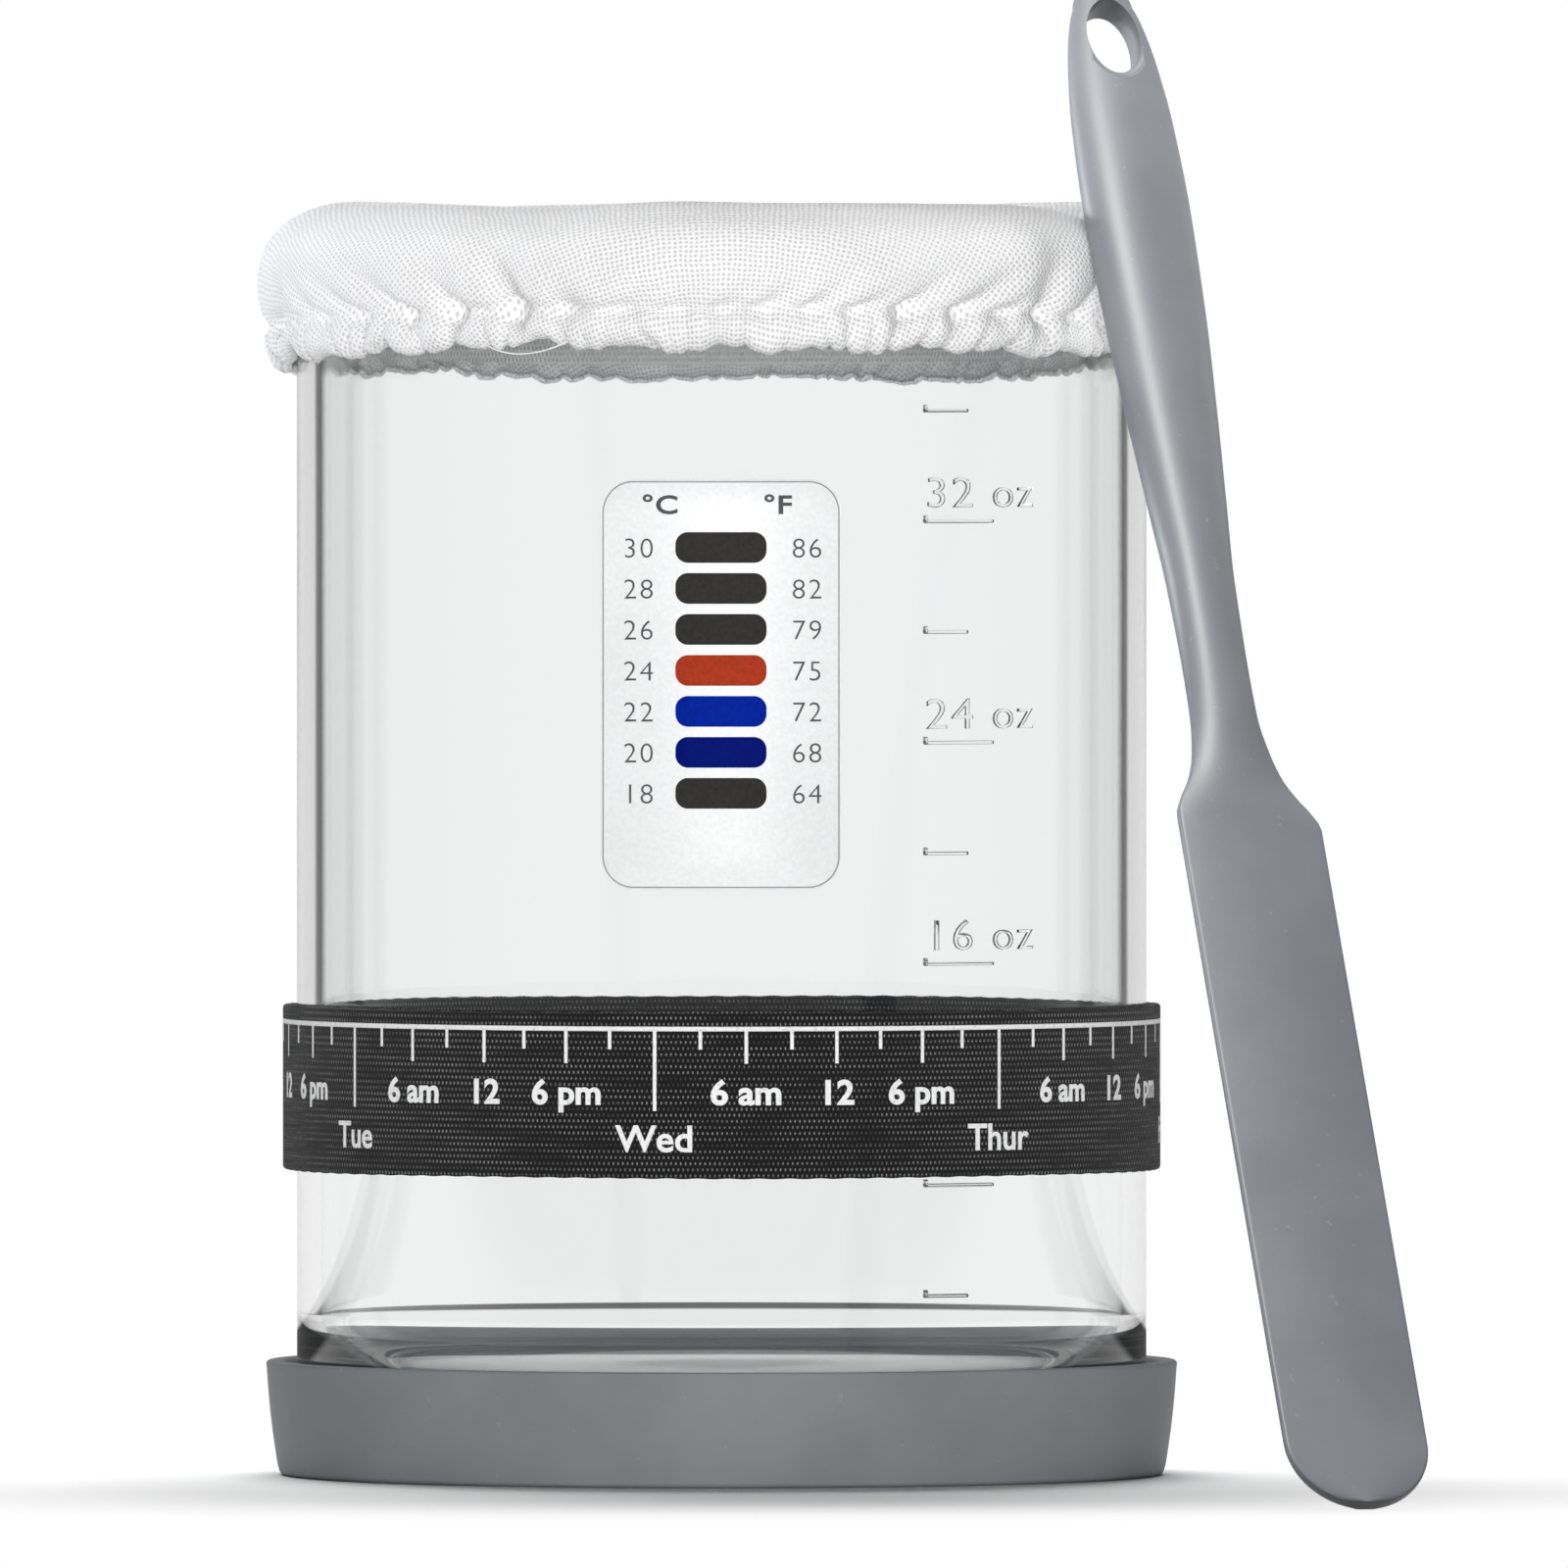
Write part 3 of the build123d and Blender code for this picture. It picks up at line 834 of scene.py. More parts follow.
def stitch_rule(sheet: NodeSheet, given: dict) -> Socket:
    """Lay short rounded stitches along the start mesh's edges, at an even pitch.

    Args:
        sheet: where the nodes go.
        given: the rule's sizes by name, and the start mesh.

    Returns:
        The stitches.
    """
    path = sheet.add("GeometryNodeMeshToCurve", {"Mesh": given["Geometry"]}).outputs[0]
    dots = sheet.add("GeometryNodeCurveToPoints", {"Curve": path, "Length": given["Pitch"]}, mode="LENGTH")
    ball = sheet.add("GeometryNodeMeshUVSphere", {"Segments": 8, "Rings": 6, "Radius": 1.0}).outputs[0]
    size = sheet.whole(given["Thickness"], given["Thickness"], given["Length"])
    laid = repeated(sheet, dots.outputs["Points"], ball, size, Rotation=dots.outputs["Rotation"])
    realized = sheet.add("GeometryNodeRealizeInstances", {"Geometry": laid})
    return sheet.add("GeometryNodeSetShadeSmooth", {"Geometry": realized.outputs[0]}).outputs[0]


def thread_rule(sheet: NodeSheet, given: dict) -> Socket:
    """Turn the start mesh's edges into one round thread.

    Args:
        sheet: where the nodes go.
        given: the rule's sizes by name, and the start mesh.

    Returns:
        The thread.
    """
    path = sheet.add("GeometryNodeMeshToCurve", {"Mesh": given["Geometry"]}).outputs[0]
    circle = {"Resolution": 8, "Radius": given["Radius"]}
    ring = sheet.add("GeometryNodeCurvePrimitiveCircle", circle).outputs[0]
    tube = sheet.add("GeometryNodeCurveToMesh", {"Curve": path, "Profile Curve": ring, "Fill Caps": True})
    return sheet.add("GeometryNodeSetShadeSmooth", {"Geometry": tube.outputs[0]}).outputs[0]


def write_run(piece: Item, radius: float) -> None:
    """Write each corner's run round the jar and its height into the map that the webbing reads.

    Args:
        piece: a ring round the jar, of faces with four corners.
        radius: the radius that the run is measured at.
    """
    place = vertex_places(piece.data)
    turn = np.arctan2(place[:, 0], -place[:, 1])
    corners = corner_numbers(piece.data)
    run = (turn[corners] * radius).reshape(-1, 4)
    seam = run - run.max(axis=1, keepdims=True) < -math.pi * radius
    run = np.where(seam, run + math.tau * radius, run)
    write_map(piece.data, "run", np.stack([run.ravel(), place[corners, 2]], axis=1))


def path_mesh(name: str, points: np.ndarray, closed: bool) -> Mesh:
    """Make a mesh of edges only.

    Args:
        name: its name.
        points: its corners in order.
        closed: True for an edge from the last corner to the first.

    Returns:
        The mesh.
    """
    count = len(points)
    edges = [(number, (number + 1) % count) for number in range(count if closed else count - 1)]
    mesh = bpy.data.meshes.new(name)
    mesh.from_pydata([tuple(map(float, point)) for point in points], edges, [])
    return mesh


@dataclass
class GlassJar:
    """The jar: a straight wall with a heavy rounded floor, and moulded marks and numbers on its right."""

    radius: float = 54.5 * MM
    wall: float = 3.1 * MM
    foot: float = 4.0 * MM
    top: float = 159.4 * MM
    floor: float = 4.8 * MM
    heel: float = 5.0 * MM
    corner_rise: float = 12.0 * MM
    corner_reach: float = 7.5 * MM
    punt_radius: float = 44.0 * MM
    punt_depth: float = 1.0 * MM
    foot_round: float = 0.4 * MM
    floor_bow: float = 0.4 * MM
    wall_clearance: float = 0.1 * MM
    mark_count: int = 9
    first_mark: float = 20.17 * MM
    mark_step: float = 14.07 * MM
    mark_bearing: float = 28.3
    short_mark: float = 6.5 * MM
    long_mark: float = 10.6 * MM
    mark_height: float = 0.5 * MM
    hook_width: float = 0.42 * MM
    hook_height: float = 0.95 * MM
    mark_thickness: float = 0.9 * MM
    mark_proud: float = 0.26 * MM
    number_height: float = 4.1 * MM
    number_lift: float = 1.75 * MM
    number_round: float = 0.07 * MM
    ounces_per_long_mark: int = 8

    def build(self) -> None:
        """Make the glass, its marks and its numbers."""
        finish = GlassFinish("pressed_glass").material()
        jar = self.blown_body(finish)
        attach(jar, Body.JAR.value)
        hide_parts("glass_jar")
        for extra in (self.marks(finish), self.numbers(finish)):
            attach(extra, Body.JAR.value)
        log.info("jar: glass, marks and numbers")

    def blown_body(self, finish: Material) -> Item:
        """Turn the glass: its punt, heel, wall, lip and rounded inner corner.

        Args:
            finish: its finish.

        Returns:
            The glass, closed all round.
        """
        inner = self.radius - self.wall
        floor = self.foot + self.floor
        heel = (self.radius - self.heel, self.foot + self.heel)
        lip = (self.radius - self.wall / 2, self.top - self.wall / 2)
        corner = (inner - self.corner_reach, floor + self.corner_rise)
        up = self.foot + self.punt_depth
        bed = (self.punt_radius + self.punt_depth, self.foot + self.foot_round)
        steps = np.linspace(0.06, 0.94, 12)
        rise = [heel[1] + self.wall_clearance, *(heel[1] + (lip[1] - heel[1]) * steps)]
        fall = [*(lip[1] + (corner[1] - lip[1]) * steps), corner[1] + self.wall_clearance]
        profile = [(0.0, up), (self.punt_radius * 0.5, up + 0.3 * MM)]
        profile += [(self.punt_radius - 3 * self.punt_depth, up)]
        profile += arc((self.punt_radius - self.punt_depth, self.foot), self.punt_depth, 90, 0, 5)[1:]
        profile += arc(bed, self.foot_round, 200, 270, 3)
        profile += arc(heel, self.heel, -90, 0, 16)
        profile += [(self.radius, level) for level in rise]
        profile += arc(lip, self.wall / 2, 0, 180, 16)
        profile += [(inner, level) for level in fall]
        for turn in np.linspace(0, math.pi / 2, 28):
            reach = self.corner_reach * math.cos(turn)
            profile.append((corner[0] + reach, corner[1] - self.corner_rise * math.sin(turn)))
        for share in (0.75, 0.5, 0.25, 0.0):
            profile.append((corner[0] * share, floor + self.floor_bow * (1 - share)))
        return turned("jar_body", profile, 320, finish)

    def marks(self, finish: Material) -> Item:
        """Grow the moulded measuring marks, each with the hook at its end.

        Args:
            finish: its finish.

        Returns:
            The marks as one piece.
        """

        def rule(sheet: NodeSheet, given: dict) -> Socket:
            """Set rounded bars one above the other, a short and a long one by turns.

            Args:
                sheet: where the nodes go.
                given: the rule's sizes by name, as sockets.

            Returns:
                The marks.
            """
            first = sheet.whole(y=given["First level"], z=given["Out"])
            line = sheet.add("GeometryNodeMeshLine",
                             {"Count": self.mark_count, "Start Location": first,
                              "Offset": sheet.whole(y=given["Step"])}).outputs[0]
            odd = sheet.maths("MODULO", sheet.add("GeometryNodeInputIndex").outputs[0], 2.0)
            gain = sheet.maths("SUBTRACT", given["Long"], given["Short"])
            length = sheet.maths("ADD", given["Short"], sheet.maths("MULTIPLY", odd, gain))
            block = sheet.add("GeometryNodeMeshCube",
                              {"Size": (1.0, 1.0, 1.0), "Vertices X": 14, "Vertices Y": 2, "Vertices Z": 2})
            moved = sheet.add("GeometryNodeTransform",
                              {"Geometry": block.outputs[0], "Translation": (0.5, 0.0, 0.0)})
            soft = sheet.add("GeometryNodeSubdivisionSurface",
                             {"Mesh": moved.outputs[0], "Level": 2, "Edge Crease": 0.35}).outputs[0]
            raised = sheet.add("GeometryNodeTransform",
                               {"Geometry": soft, "Translation": (0.0, 0.32, 0.0)}).outputs[0]
            laid = repeated(sheet, line, soft, sheet.whole(length, given["Height"], given["Thickness"]))
            size = sheet.whole(given["Hook width"], given["Hook height"], given["Thickness"])
            hooks = repeated(sheet, line, raised, size)
            both = sheet.add("GeometryNodeJoinGeometry")
            for part in (laid, hooks):
                sheet.put(both.inputs[0], part)
            real = sheet.add("GeometryNodeRealizeInstances", {"Geometry": both.outputs[0]}).outputs[0]
            smooth = sheet.add("GeometryNodeSetShadeSmooth", {"Geometry": real}).outputs[0]
            return bent_round_jar(sheet, smooth, given["Radius"], given["Bearing"])

        sizes = {
            "Step": self.mark_step,
            "First level": self.foot + self.first_mark,
            "Out": self.mark_proud - self.mark_thickness / 2,
            "Short": self.short_mark,
            "Long": self.long_mark,
            "Height": self.mark_height,
            "Hook width": self.hook_width,
            "Hook height": self.hook_height,
            "Thickness": self.mark_thickness,
            "Radius": self.radius,
            "Bearing": math.radians(self.mark_bearing),
        }
        return grown("jar_marks", sizes, rule, finish)

    def numbers(self, finish: Material) -> Item:
        """Write the moulded amounts over the long marks.

        Args:
            finish: its finish.

        Returns:
            The numbers as one piece.
        """
        text = Lettering("jar_numbers", self.radius, self.mark_proud, self.mark_proud, self.number_round)
        for number in range(1, self.mark_count, 2):
            amount = self.ounces_per_long_mark * (number + 1) // 2
            level = self.foot + self.first_mark + number * self.mark_step + self.number_lift
            text.write(f"{amount} oz", self.mark_bearing, level, self.number_height, weight=-0.1 * MM,
                       width=1.25, anchor=Anchor.LEFT, spacing=1.12)
        return text.piece(finish)


@dataclass
class BaseCup:
    """The silicone base: a flared cup with a soft rim and two sealing beads inside."""

    height: float = 14.7 * MM
    floor: float = 4.0 * MM
    bore: float = 55.3 * MM
    foot_radius: float = 56.8 * MM
    rim_radius: float = 58.45 * MM
    foot_edge: float = 0.9 * MM
    rim_edge: float = 0.45 * MM
    lead_in: float = 0.85 * MM
    lead_in_depth: float = 3.0 * MM
    bead_height: float = 0.5 * MM
    bead_half_width: float = 0.6 * MM
    bead_levels: Pair = (6.4 * MM, 9.6 * MM)
    wall_bow: float = 0.22 * MM
    floor_edge: float = 0.4 * MM
    colour: Colour = (0.262, 0.275, 0.29)

    def build(self) -> None:
        """Make the cup."""
        edge, rim = self.foot_edge, self.rim_edge
        lean = math.degrees(math.atan2(self.rim_radius - self.foot_radius, self.height))
        wall = []
        for share in np.linspace(0.1, 0.94, 10):
            flare = (self.rim_radius - self.foot_radius) * share + self.wall_bow * math.sin(math.pi * share)
            wall.append((self.foot_radius + flare, self.height * share))
        mouth = self.bore + self.lead_in
        profile = [(0.0, 0.0), (self.foot_radius * 0.6, 0.0)]
        profile += arc((self.foot_radius - edge + 0.05 * MM, edge), edge, -90, -lean, 8)
        profile += wall
        profile += arc((self.rim_radius - rim, self.height - rim), rim, -lean, 90, 8)
        profile += arc((mouth + rim, self.height - rim), rim, 90, 180, 6)
        profile.append((self.bore, self.height - self.lead_in_depth))
        for level in sorted(self.bead_levels, reverse=True):
            for turn in np.linspace(-math.pi / 2, math.pi / 2, 9):
                profile.append((self.bore - self.bead_height * math.cos(turn),
                                level - self.bead_half_width * math.sin(turn)))
        profile += [(self.bore, self.floor + self.floor_edge), (self.bore - self.floor_edge, self.floor)]
        profile += [(self.bore * 0.5, self.floor), (0.0, self.floor)]
        cup = turned("base_body", profile, 256, SiliconeFinish("base_silicone", self.colour).material())
        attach(cup, Body.BASE.value)
        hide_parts("base_cup")
        log.info("base: cup")


@dataclass(frozen=True)
class Fold:
    """One fold of the cover: where it leaves the seam, how it leans, and how deep, wide and long it is."""

    bearing: float
    lean: float
    depth: float
    width: float
    reach: float


@dataclass
class ClothCover:
    """The gathered cap: one round cloth, its hem drawn in by an elastic, with a row of stitches over it."""

    jar_radius: float = 54.5 * MM
    jar_top: float = 159.4 * MM
    girth: float = 58.0 * MM
    front_lift: float = 2.4 * MM
    flat_radius: float = 84.0 * MM
    thickness: float = 0.45 * MM
    columns: int = 680
    row_pitch: float = 0.62 * MM
    flat_top: float = 44.0 * MM
    top_rows: int = 12
    wave_start: float = 40.0 * MM
    wave_fade: float = 14.0 * MM
    rim_reach: float = 46.0 * MM
    tilt_reach: float = 16.0 * MM
    hem_reach: float = 5.0 * MM
    clearance: float = 0.2 * MM
    seed: int = 11

    # radius and height of the cloth from the middle of the top down to the hem, in millimetres
    profile: tuple[Pair, ...] = (
        (0.0, 162.3), (22.0, 162.4), (40.0, 162.8), (48.0, 162.9), (52.3, 162.1), (55.6, 160.4),
        (57.9, 157.9), (59.0, 154.8), (59.1, 151.6), (58.5, 149.0), (57.3, 147.4), (58.0, 145.9),
        (58.0, 144.4), (57.2, 143.0), (56.0, 142.3), (55.2, 142.6),
    )
    seam_point: int = 10

    # the folds seen best, from left to right: bearing and lean, then depth, width and reach in millimetres
    front_folds: tuple[tuple[float, float, float, float, float], ...] = (
        (-62.0, -1.5, 1.1, 1.6, 9.0), (-53.0, -1.9, 1.5, 1.5, 8.0), (-44.0, -1.6, 2.0, 1.7, 9.5),
        (-36.0, -0.6, 1.9, 1.8, 16.0), (-27.0, -0.38, 1.8, 1.7, 14.5), (-20.0, -0.2, 0.9, 1.8, 7.0),
        (-13.0, 1.3, 0.9, 1.6, 6.0), (-5.5, 0.6, 0.8, 1.7, 7.5), (0.5, 0.9, 1.1, 1.8, 8.0),
        (5.6, 0.95, 1.6, 1.7, 8.0), (11.2, 1.1, 1.3, 1.5, 7.5), (17.4, 1.5, 1.3, 1.5, 6.5),
        (24.0, 1.0, 1.9, 1.9, 10.5), (32.0, 1.3, 1.9, 1.7, 8.5), (38.5, 1.2, 1.2, 1.6, 7.5),
        (44.5, 0.3, 2.0, 1.6, 13.0), (52.0, 0.9, 1.4, 1.6, 8.5),
    )
    back_fold_count: int = 24
    lobe_width: Pair = (3.0 * MM, 5.8 * MM)
    lobe_depth: Pair = (0.4 * MM, 0.9 * MM)
    stitch_pitch: float = 2.6 * MM
    stitch_size: Pair = (0.75 * MM, 0.14 * MM)
    elastic_radius: Pair = (54.6 * MM, 55.05 * MM)
    elastic_level: float = 146.6 * MM
    elastic_half: float = 2.1 * MM
    elastic_edge: float = 0.1 * MM
    thread_bearings: Pair = (-32.0, -20.0)
    thread_level: float = 145.2 * MM
    thread_radius: float = 0.11 * MM
    thread_sag: float = 1.5 * MM

    def build(self) -> None:
        """Make the cloth, its stitches and the finishes of what the hem hides."""
        cloth_finish = ClothFinish("plain_weave_cotton").material()
        cloth, seam = self.cloth(cloth_finish)
        thread = InkFinish("cotton_thread", colour=(0.80, 0.80, 0.79), worn=(0.62, 0.62, 0.6)).material()
        length, thickness = self.stitch_size
        sizes = {"Pitch": self.stitch_pitch, "Length": length, "Thickness": thickness}
        ring = path_mesh("cover_stitches", seam, True)
        stitches = grown("cover_stitches", sizes, stitch_rule, thread, ring)
        for piece in (cloth, stitches):
            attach(piece, Body.COVER.value)
        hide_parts("cover_cloth")
        path = path_mesh("cover_thread", self.thread(), False)
        loose = grown("cover_thread", {"Radius": self.thread_radius}, thread_rule, thread, path)
        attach(loose, Body.COVER.value)
        pale = WebbingFinish("hem_elastic", yarn=(0.7, 0.7, 0.69), glint=(0.8, 0.8, 0.8))
        elastic = self.elastic(pale.material())
        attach(elastic, Body.COVER.value)
        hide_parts("cover_elastic")
        log.info("cover: cloth, stitches, loose thread and elastic")

    def elastic(self, finish: Material) -> Item:
        """Turn the elastic inside the hem and tilt it as the hem is tilted.

        Args:
            finish: its finish.

        Returns:
            The elastic ring.
        """
        (inner, outer), edge = self.elastic_radius, self.elastic_edge
        low, high = self.elastic_level - self.elastic_half, self.elastic_level + self.elastic_half
        profile = arc((outer - edge, low + edge), edge, -90, 0, 3)
        profile += [(outer, low + (high - low) * share) for share in (0.25, 0.5, 0.75)]
        profile += arc((outer - edge, high - edge), edge, 0, 90, 3)
        profile += arc((inner + edge, high - edge), edge, 90, 180, 3)
        profile += [(inner, self.elastic_level)] + arc((inner + edge, low + edge), edge, 180, 270, 3)
        ring = turned("cover_elastic_ring", profile, 240, finish, ring=True)
        for vertex in ring.data.vertices:
            vertex.co.z -= self.front_lift * vertex.co.y / outer
        write_run(ring, outer)
        return ring

    def thread(self) -> np.ndarray:
        """Return the line of the loose thread that hangs under the hem at the front left."""
        share = np.linspace(0, 1, 40)
        first, last = self.thread_bearings
        turn = np.radians(first + (last - first) * share)
        level = self.thread_level - self.thread_sag * np.sin(math.pi * share) ** 0.8 + 0.5 * MM * share
        reach = self.girth - 1.6 * MM + 0.9 * MM * np.sin(math.pi * share)
        return polar(turn, reach, level)

    def rows(self) -> tuple[np.ndarray, np.ndarray, np.ndarray, float]:
        """Return radius, height and length along the cloth of each row, with the length at the seam."""
        points = np.array(self.profile) * MM
        steps = 40
        fine = []
        for number in range(len(points) - 1):
            before = points[max(number - 1, 0)]
            start, end = points[number], points[number + 1]
            after = points[min(number + 2, len(points) - 1)]
            for share in np.linspace(0, 1, steps, endpoint=False):
                fine.append(0.5 * (2 * start + (end - before) * share
                                   + (2 * before - 5 * start + 4 * end - after) * share**2
                                   + (3 * start - before - 3 * end + after) * share**3))
        fine.append(points[-1])
        line = np.array(fine)
        length = np.concatenate([[0], np.cumsum(np.linalg.norm(np.diff(line, axis=0), axis=1))])
        seam_length = float(length[steps * self.seam_point])
        top = np.linspace(0, self.flat_top, self.top_rows)
        side = np.arange(self.flat_top, length[-1], self.row_pitch)[1:]
        at = np.concatenate([top, side, [length[-1]]])
        return np.interp(at, length, line[:, 0]), np.interp(at, length, line[:, 1]), at, seam_length

    def all_folds(self) -> list[Fold]:
        """Return the front folds and seeded ones for the rest of the way round."""
        chance = np.random.default_rng(self.seed)
        folds = [Fold(bearing, lean, depth * MM, width * MM, reach * MM)
                 for bearing, lean, depth, width, reach in self.front_folds]
        first, last = self.front_folds[-1][0] + 8.0, 360.0 + self.front_folds[0][0] - 8.0
        for number in range(self.back_fold_count):
            share = (number + 0.6 * (chance.random() - 0.5)) / (self.back_fold_count - 1)
            folds.append(Fold(
                bearing=first + share * (last - first),
                lean=0.9 * chance.normal(),
                depth=(0.9 + 1.2 * chance.random()) * MM,
                width=(1.5 + 0.9 * chance.random()) * MM,
                reach=(6.5 + 9.0 * chance.random() ** 2) * MM,
            ))
        return folds

    def fold_push(self, turn: np.ndarray, above: np.ndarray) -> np.ndarray:
        """Return how far the folds over the seam push the cloth out.

        Args:
            turn: bearing of each point, in radians.
            above: metres above the seam along the cloth, and below it negative.

        Returns:
            Metres outwards, negative in a crease.
        """
        push = np.zeros_like(turn)
        high = np.maximum(above, 0)
        for fold in self.all_folds():
            apart = (turn - math.radians(fold.bearing) + math.pi) % math.tau - math.pi
            apart = apart * self.girth - fold.lean * high * (1 - 0.25 * high / fold.reach)
            spread = 1.3 * fold.width * (0.8 + 0.7 * high / fold.reach)
            fade = np.clip(1 - high / fold.reach, 0, 1) ** 0.9 * np.clip(1 + above / (5.0 * MM), 0, 1)
            side = math.copysign(1.0, fold.lean)
            valley = np.exp(-np.abs(apart / spread) ** 2)
            ridge = np.exp(-((apart + side * 2.1 * spread) / (1.3 * spread)) ** 2)
            push += fold.depth * fade * (0.3 * ridge - valley)
        return push

    def lobe_push(self, turn: np.ndarray, above: np.ndarray) -> tuple[np.ndarray, np.ndarray]:
        """Return how far the casing's lobes push the cloth out, and how near each point is to a crease.

        Args:
            turn: bearing of each point, in radians.
            above: metres above the seam along the cloth, and below it negative.

        Returns:
            Metres outwards, and a share that is one in a crease.
        """
        chance = np.random.default_rng(self.seed + 1)
        widths = []
        while sum(widths) < math.tau * self.girth:
            widths.append(chance.uniform(*self.lobe_width))
        edges = np.concatenate([[0], np.cumsum(widths)])
        edges *= math.tau * self.girth / edges[-1]
        depths = chance.uniform(*self.lobe_depth, len(widths))
        leans = 0.35 * chance.normal(size=len(widths))
        leans = np.append(leans, leans[0])
        run = (turn % math.tau) * self.girth
        lean = np.interp(run, edges, leans)
        run = (run - lean * above) % (math.tau * self.girth)
        found = np.clip(np.searchsorted(edges, run, side="right") - 1, 0, len(widths) - 1)
        share = (run - edges[found]) / (edges[found + 1] - edges[found])
        bulge = 1 - np.abs(2 * share - 1) ** 2.6
        depth = np.where(share < 0.5, (depths[found] + depths[found - 1]) / 2,
                         (depths[found] + depths[(found + 1) % len(depths)]) / 2)
        fade = np.clip(0.55 - above / (2.6 * MM), 0.0, 1.0) * np.clip(1 - above / (4.5 * MM), 0, 1)
        return (bulge - 0.75) * depth * fade, 1 - bulge

    def cloth(self, finish: Material) -> tuple[Item, np.ndarray]:
        """Drape the cloth: its folds over the seam, the casing's lobes, slow waves and the scalloped hem.

        Args:
            finish: its finish.

        Returns:
            The cloth and the points of its seam.
        """
        radius, height, along, seam = self.rows()
        columns = self.columns
        turn = np.tile(np.arange(columns) * math.tau / columns, (len(along), 1))
        above = np.tile((seam - along)[:, None], (1, columns))
        lobes, crease = self.lobe_push(turn, above)
        push = self.fold_push(turn, above) + lobes
        side = np.clip((along - self.wave_start) / self.wave_fade, 0, 1)[:, None]
        slow = self.waves(turn, (0.4, 3, 0.7), (0.35, 7, 2.1), (0.2, 13, 4.0)) * MM
        push = push + slow * side
        near_rim = (np.clip(along / self.rim_reach, 0, 1) ** 2)[:, None] * (1 - side)
        top_wave = self.waves(turn, (0.35, 4, 1.0), (0.2, 9, 3.0)) * MM
        drop = np.clip((along - seam + self.tilt_reach) / self.tilt_reach, 0, 1)[:, None]
        lift = self.front_lift * np.cos(turn) * drop
        below = np.clip(-above / self.hem_reach, 0, 1) ** 2
        wander = np.sin(11 * turn + 0.4) * np.sin(17 * turn + 2.0) + 0.6 * np.sin(29 * turn + 1.3)
        wander = wander + 0.35 * np.sin(67 * turn) * np.sin(101 * turn + 0.5)
        scallop = below * (0.3 * crease + 0.42 * wander) * MM
        tangent = np.gradient(np.stack([radius, height], axis=1), axis=0)
        tangent /= np.linalg.norm(tangent, axis=1)[:, None]
        out, up = -tangent[:, 1][:, None], tangent[:, 0][:, None]
        reach = radius[:, None] + push * out
        level = height[:, None] + push * up * 0.7 + top_wave * near_rim + lift + scallop
        clear = self.jar_radius + self.thickness + self.clearance
        reach = np.where(level < self.jar_top, np.maximum(reach, clear), reach)
        points = polar(turn, reach, level)
        points[0] = points[0].mean(axis=0)
        flat = points[1:].reshape(-1, 3)
        faces = [(0, 1 + number, 1 + (number + 1) % columns) for number in range(columns)]
        faces += tube_faces(len(along) - 1, columns, 1)
        cloth = new_piece("cover_fabric", np.concatenate([points[0][:1], flat]), faces, finish)
        self.pattern_map(cloth, along, columns)
        solid = cloth.modifiers.new("thickness", "SOLIDIFY")
        solid.thickness, solid.offset = self.thickness, -1.0
        finished_mesh(cloth)
        row = int(np.argmin(np.abs(along - seam - 0.2 * MM)))
        return cloth, points[row] + polar(turn[row], 1.0, 0.0) * 0.04 * MM

    @staticmethod
    def waves(turn: np.ndarray, *waves: tuple[float, int, float]) -> np.ndarray:
        """Return the sum of waves round the cover, each with its height, number of waves and start."""
        return sum(height * np.sin(number * turn + start) for height, number, start in waves)

    def pattern_map(self, cloth: Item, along: np.ndarray, columns: int) -> None:
        """Write each corner's place on the flat round cloth into the map that the weave reads.

        Args:
            cloth: the cloth, without its thickness.
            along: length along the cloth of each row.
            columns: how many corners each row has.
        """
        turn = np.arange(columns) * math.tau / columns
        places = [(0.0, 0.0)]
        for length in along[1:]:
            places += list(zip(length * np.sin(turn), -length * np.cos(turn)))
        write_map(cloth.data, "flat", np.array(places)[corner_numbers(cloth.data)])


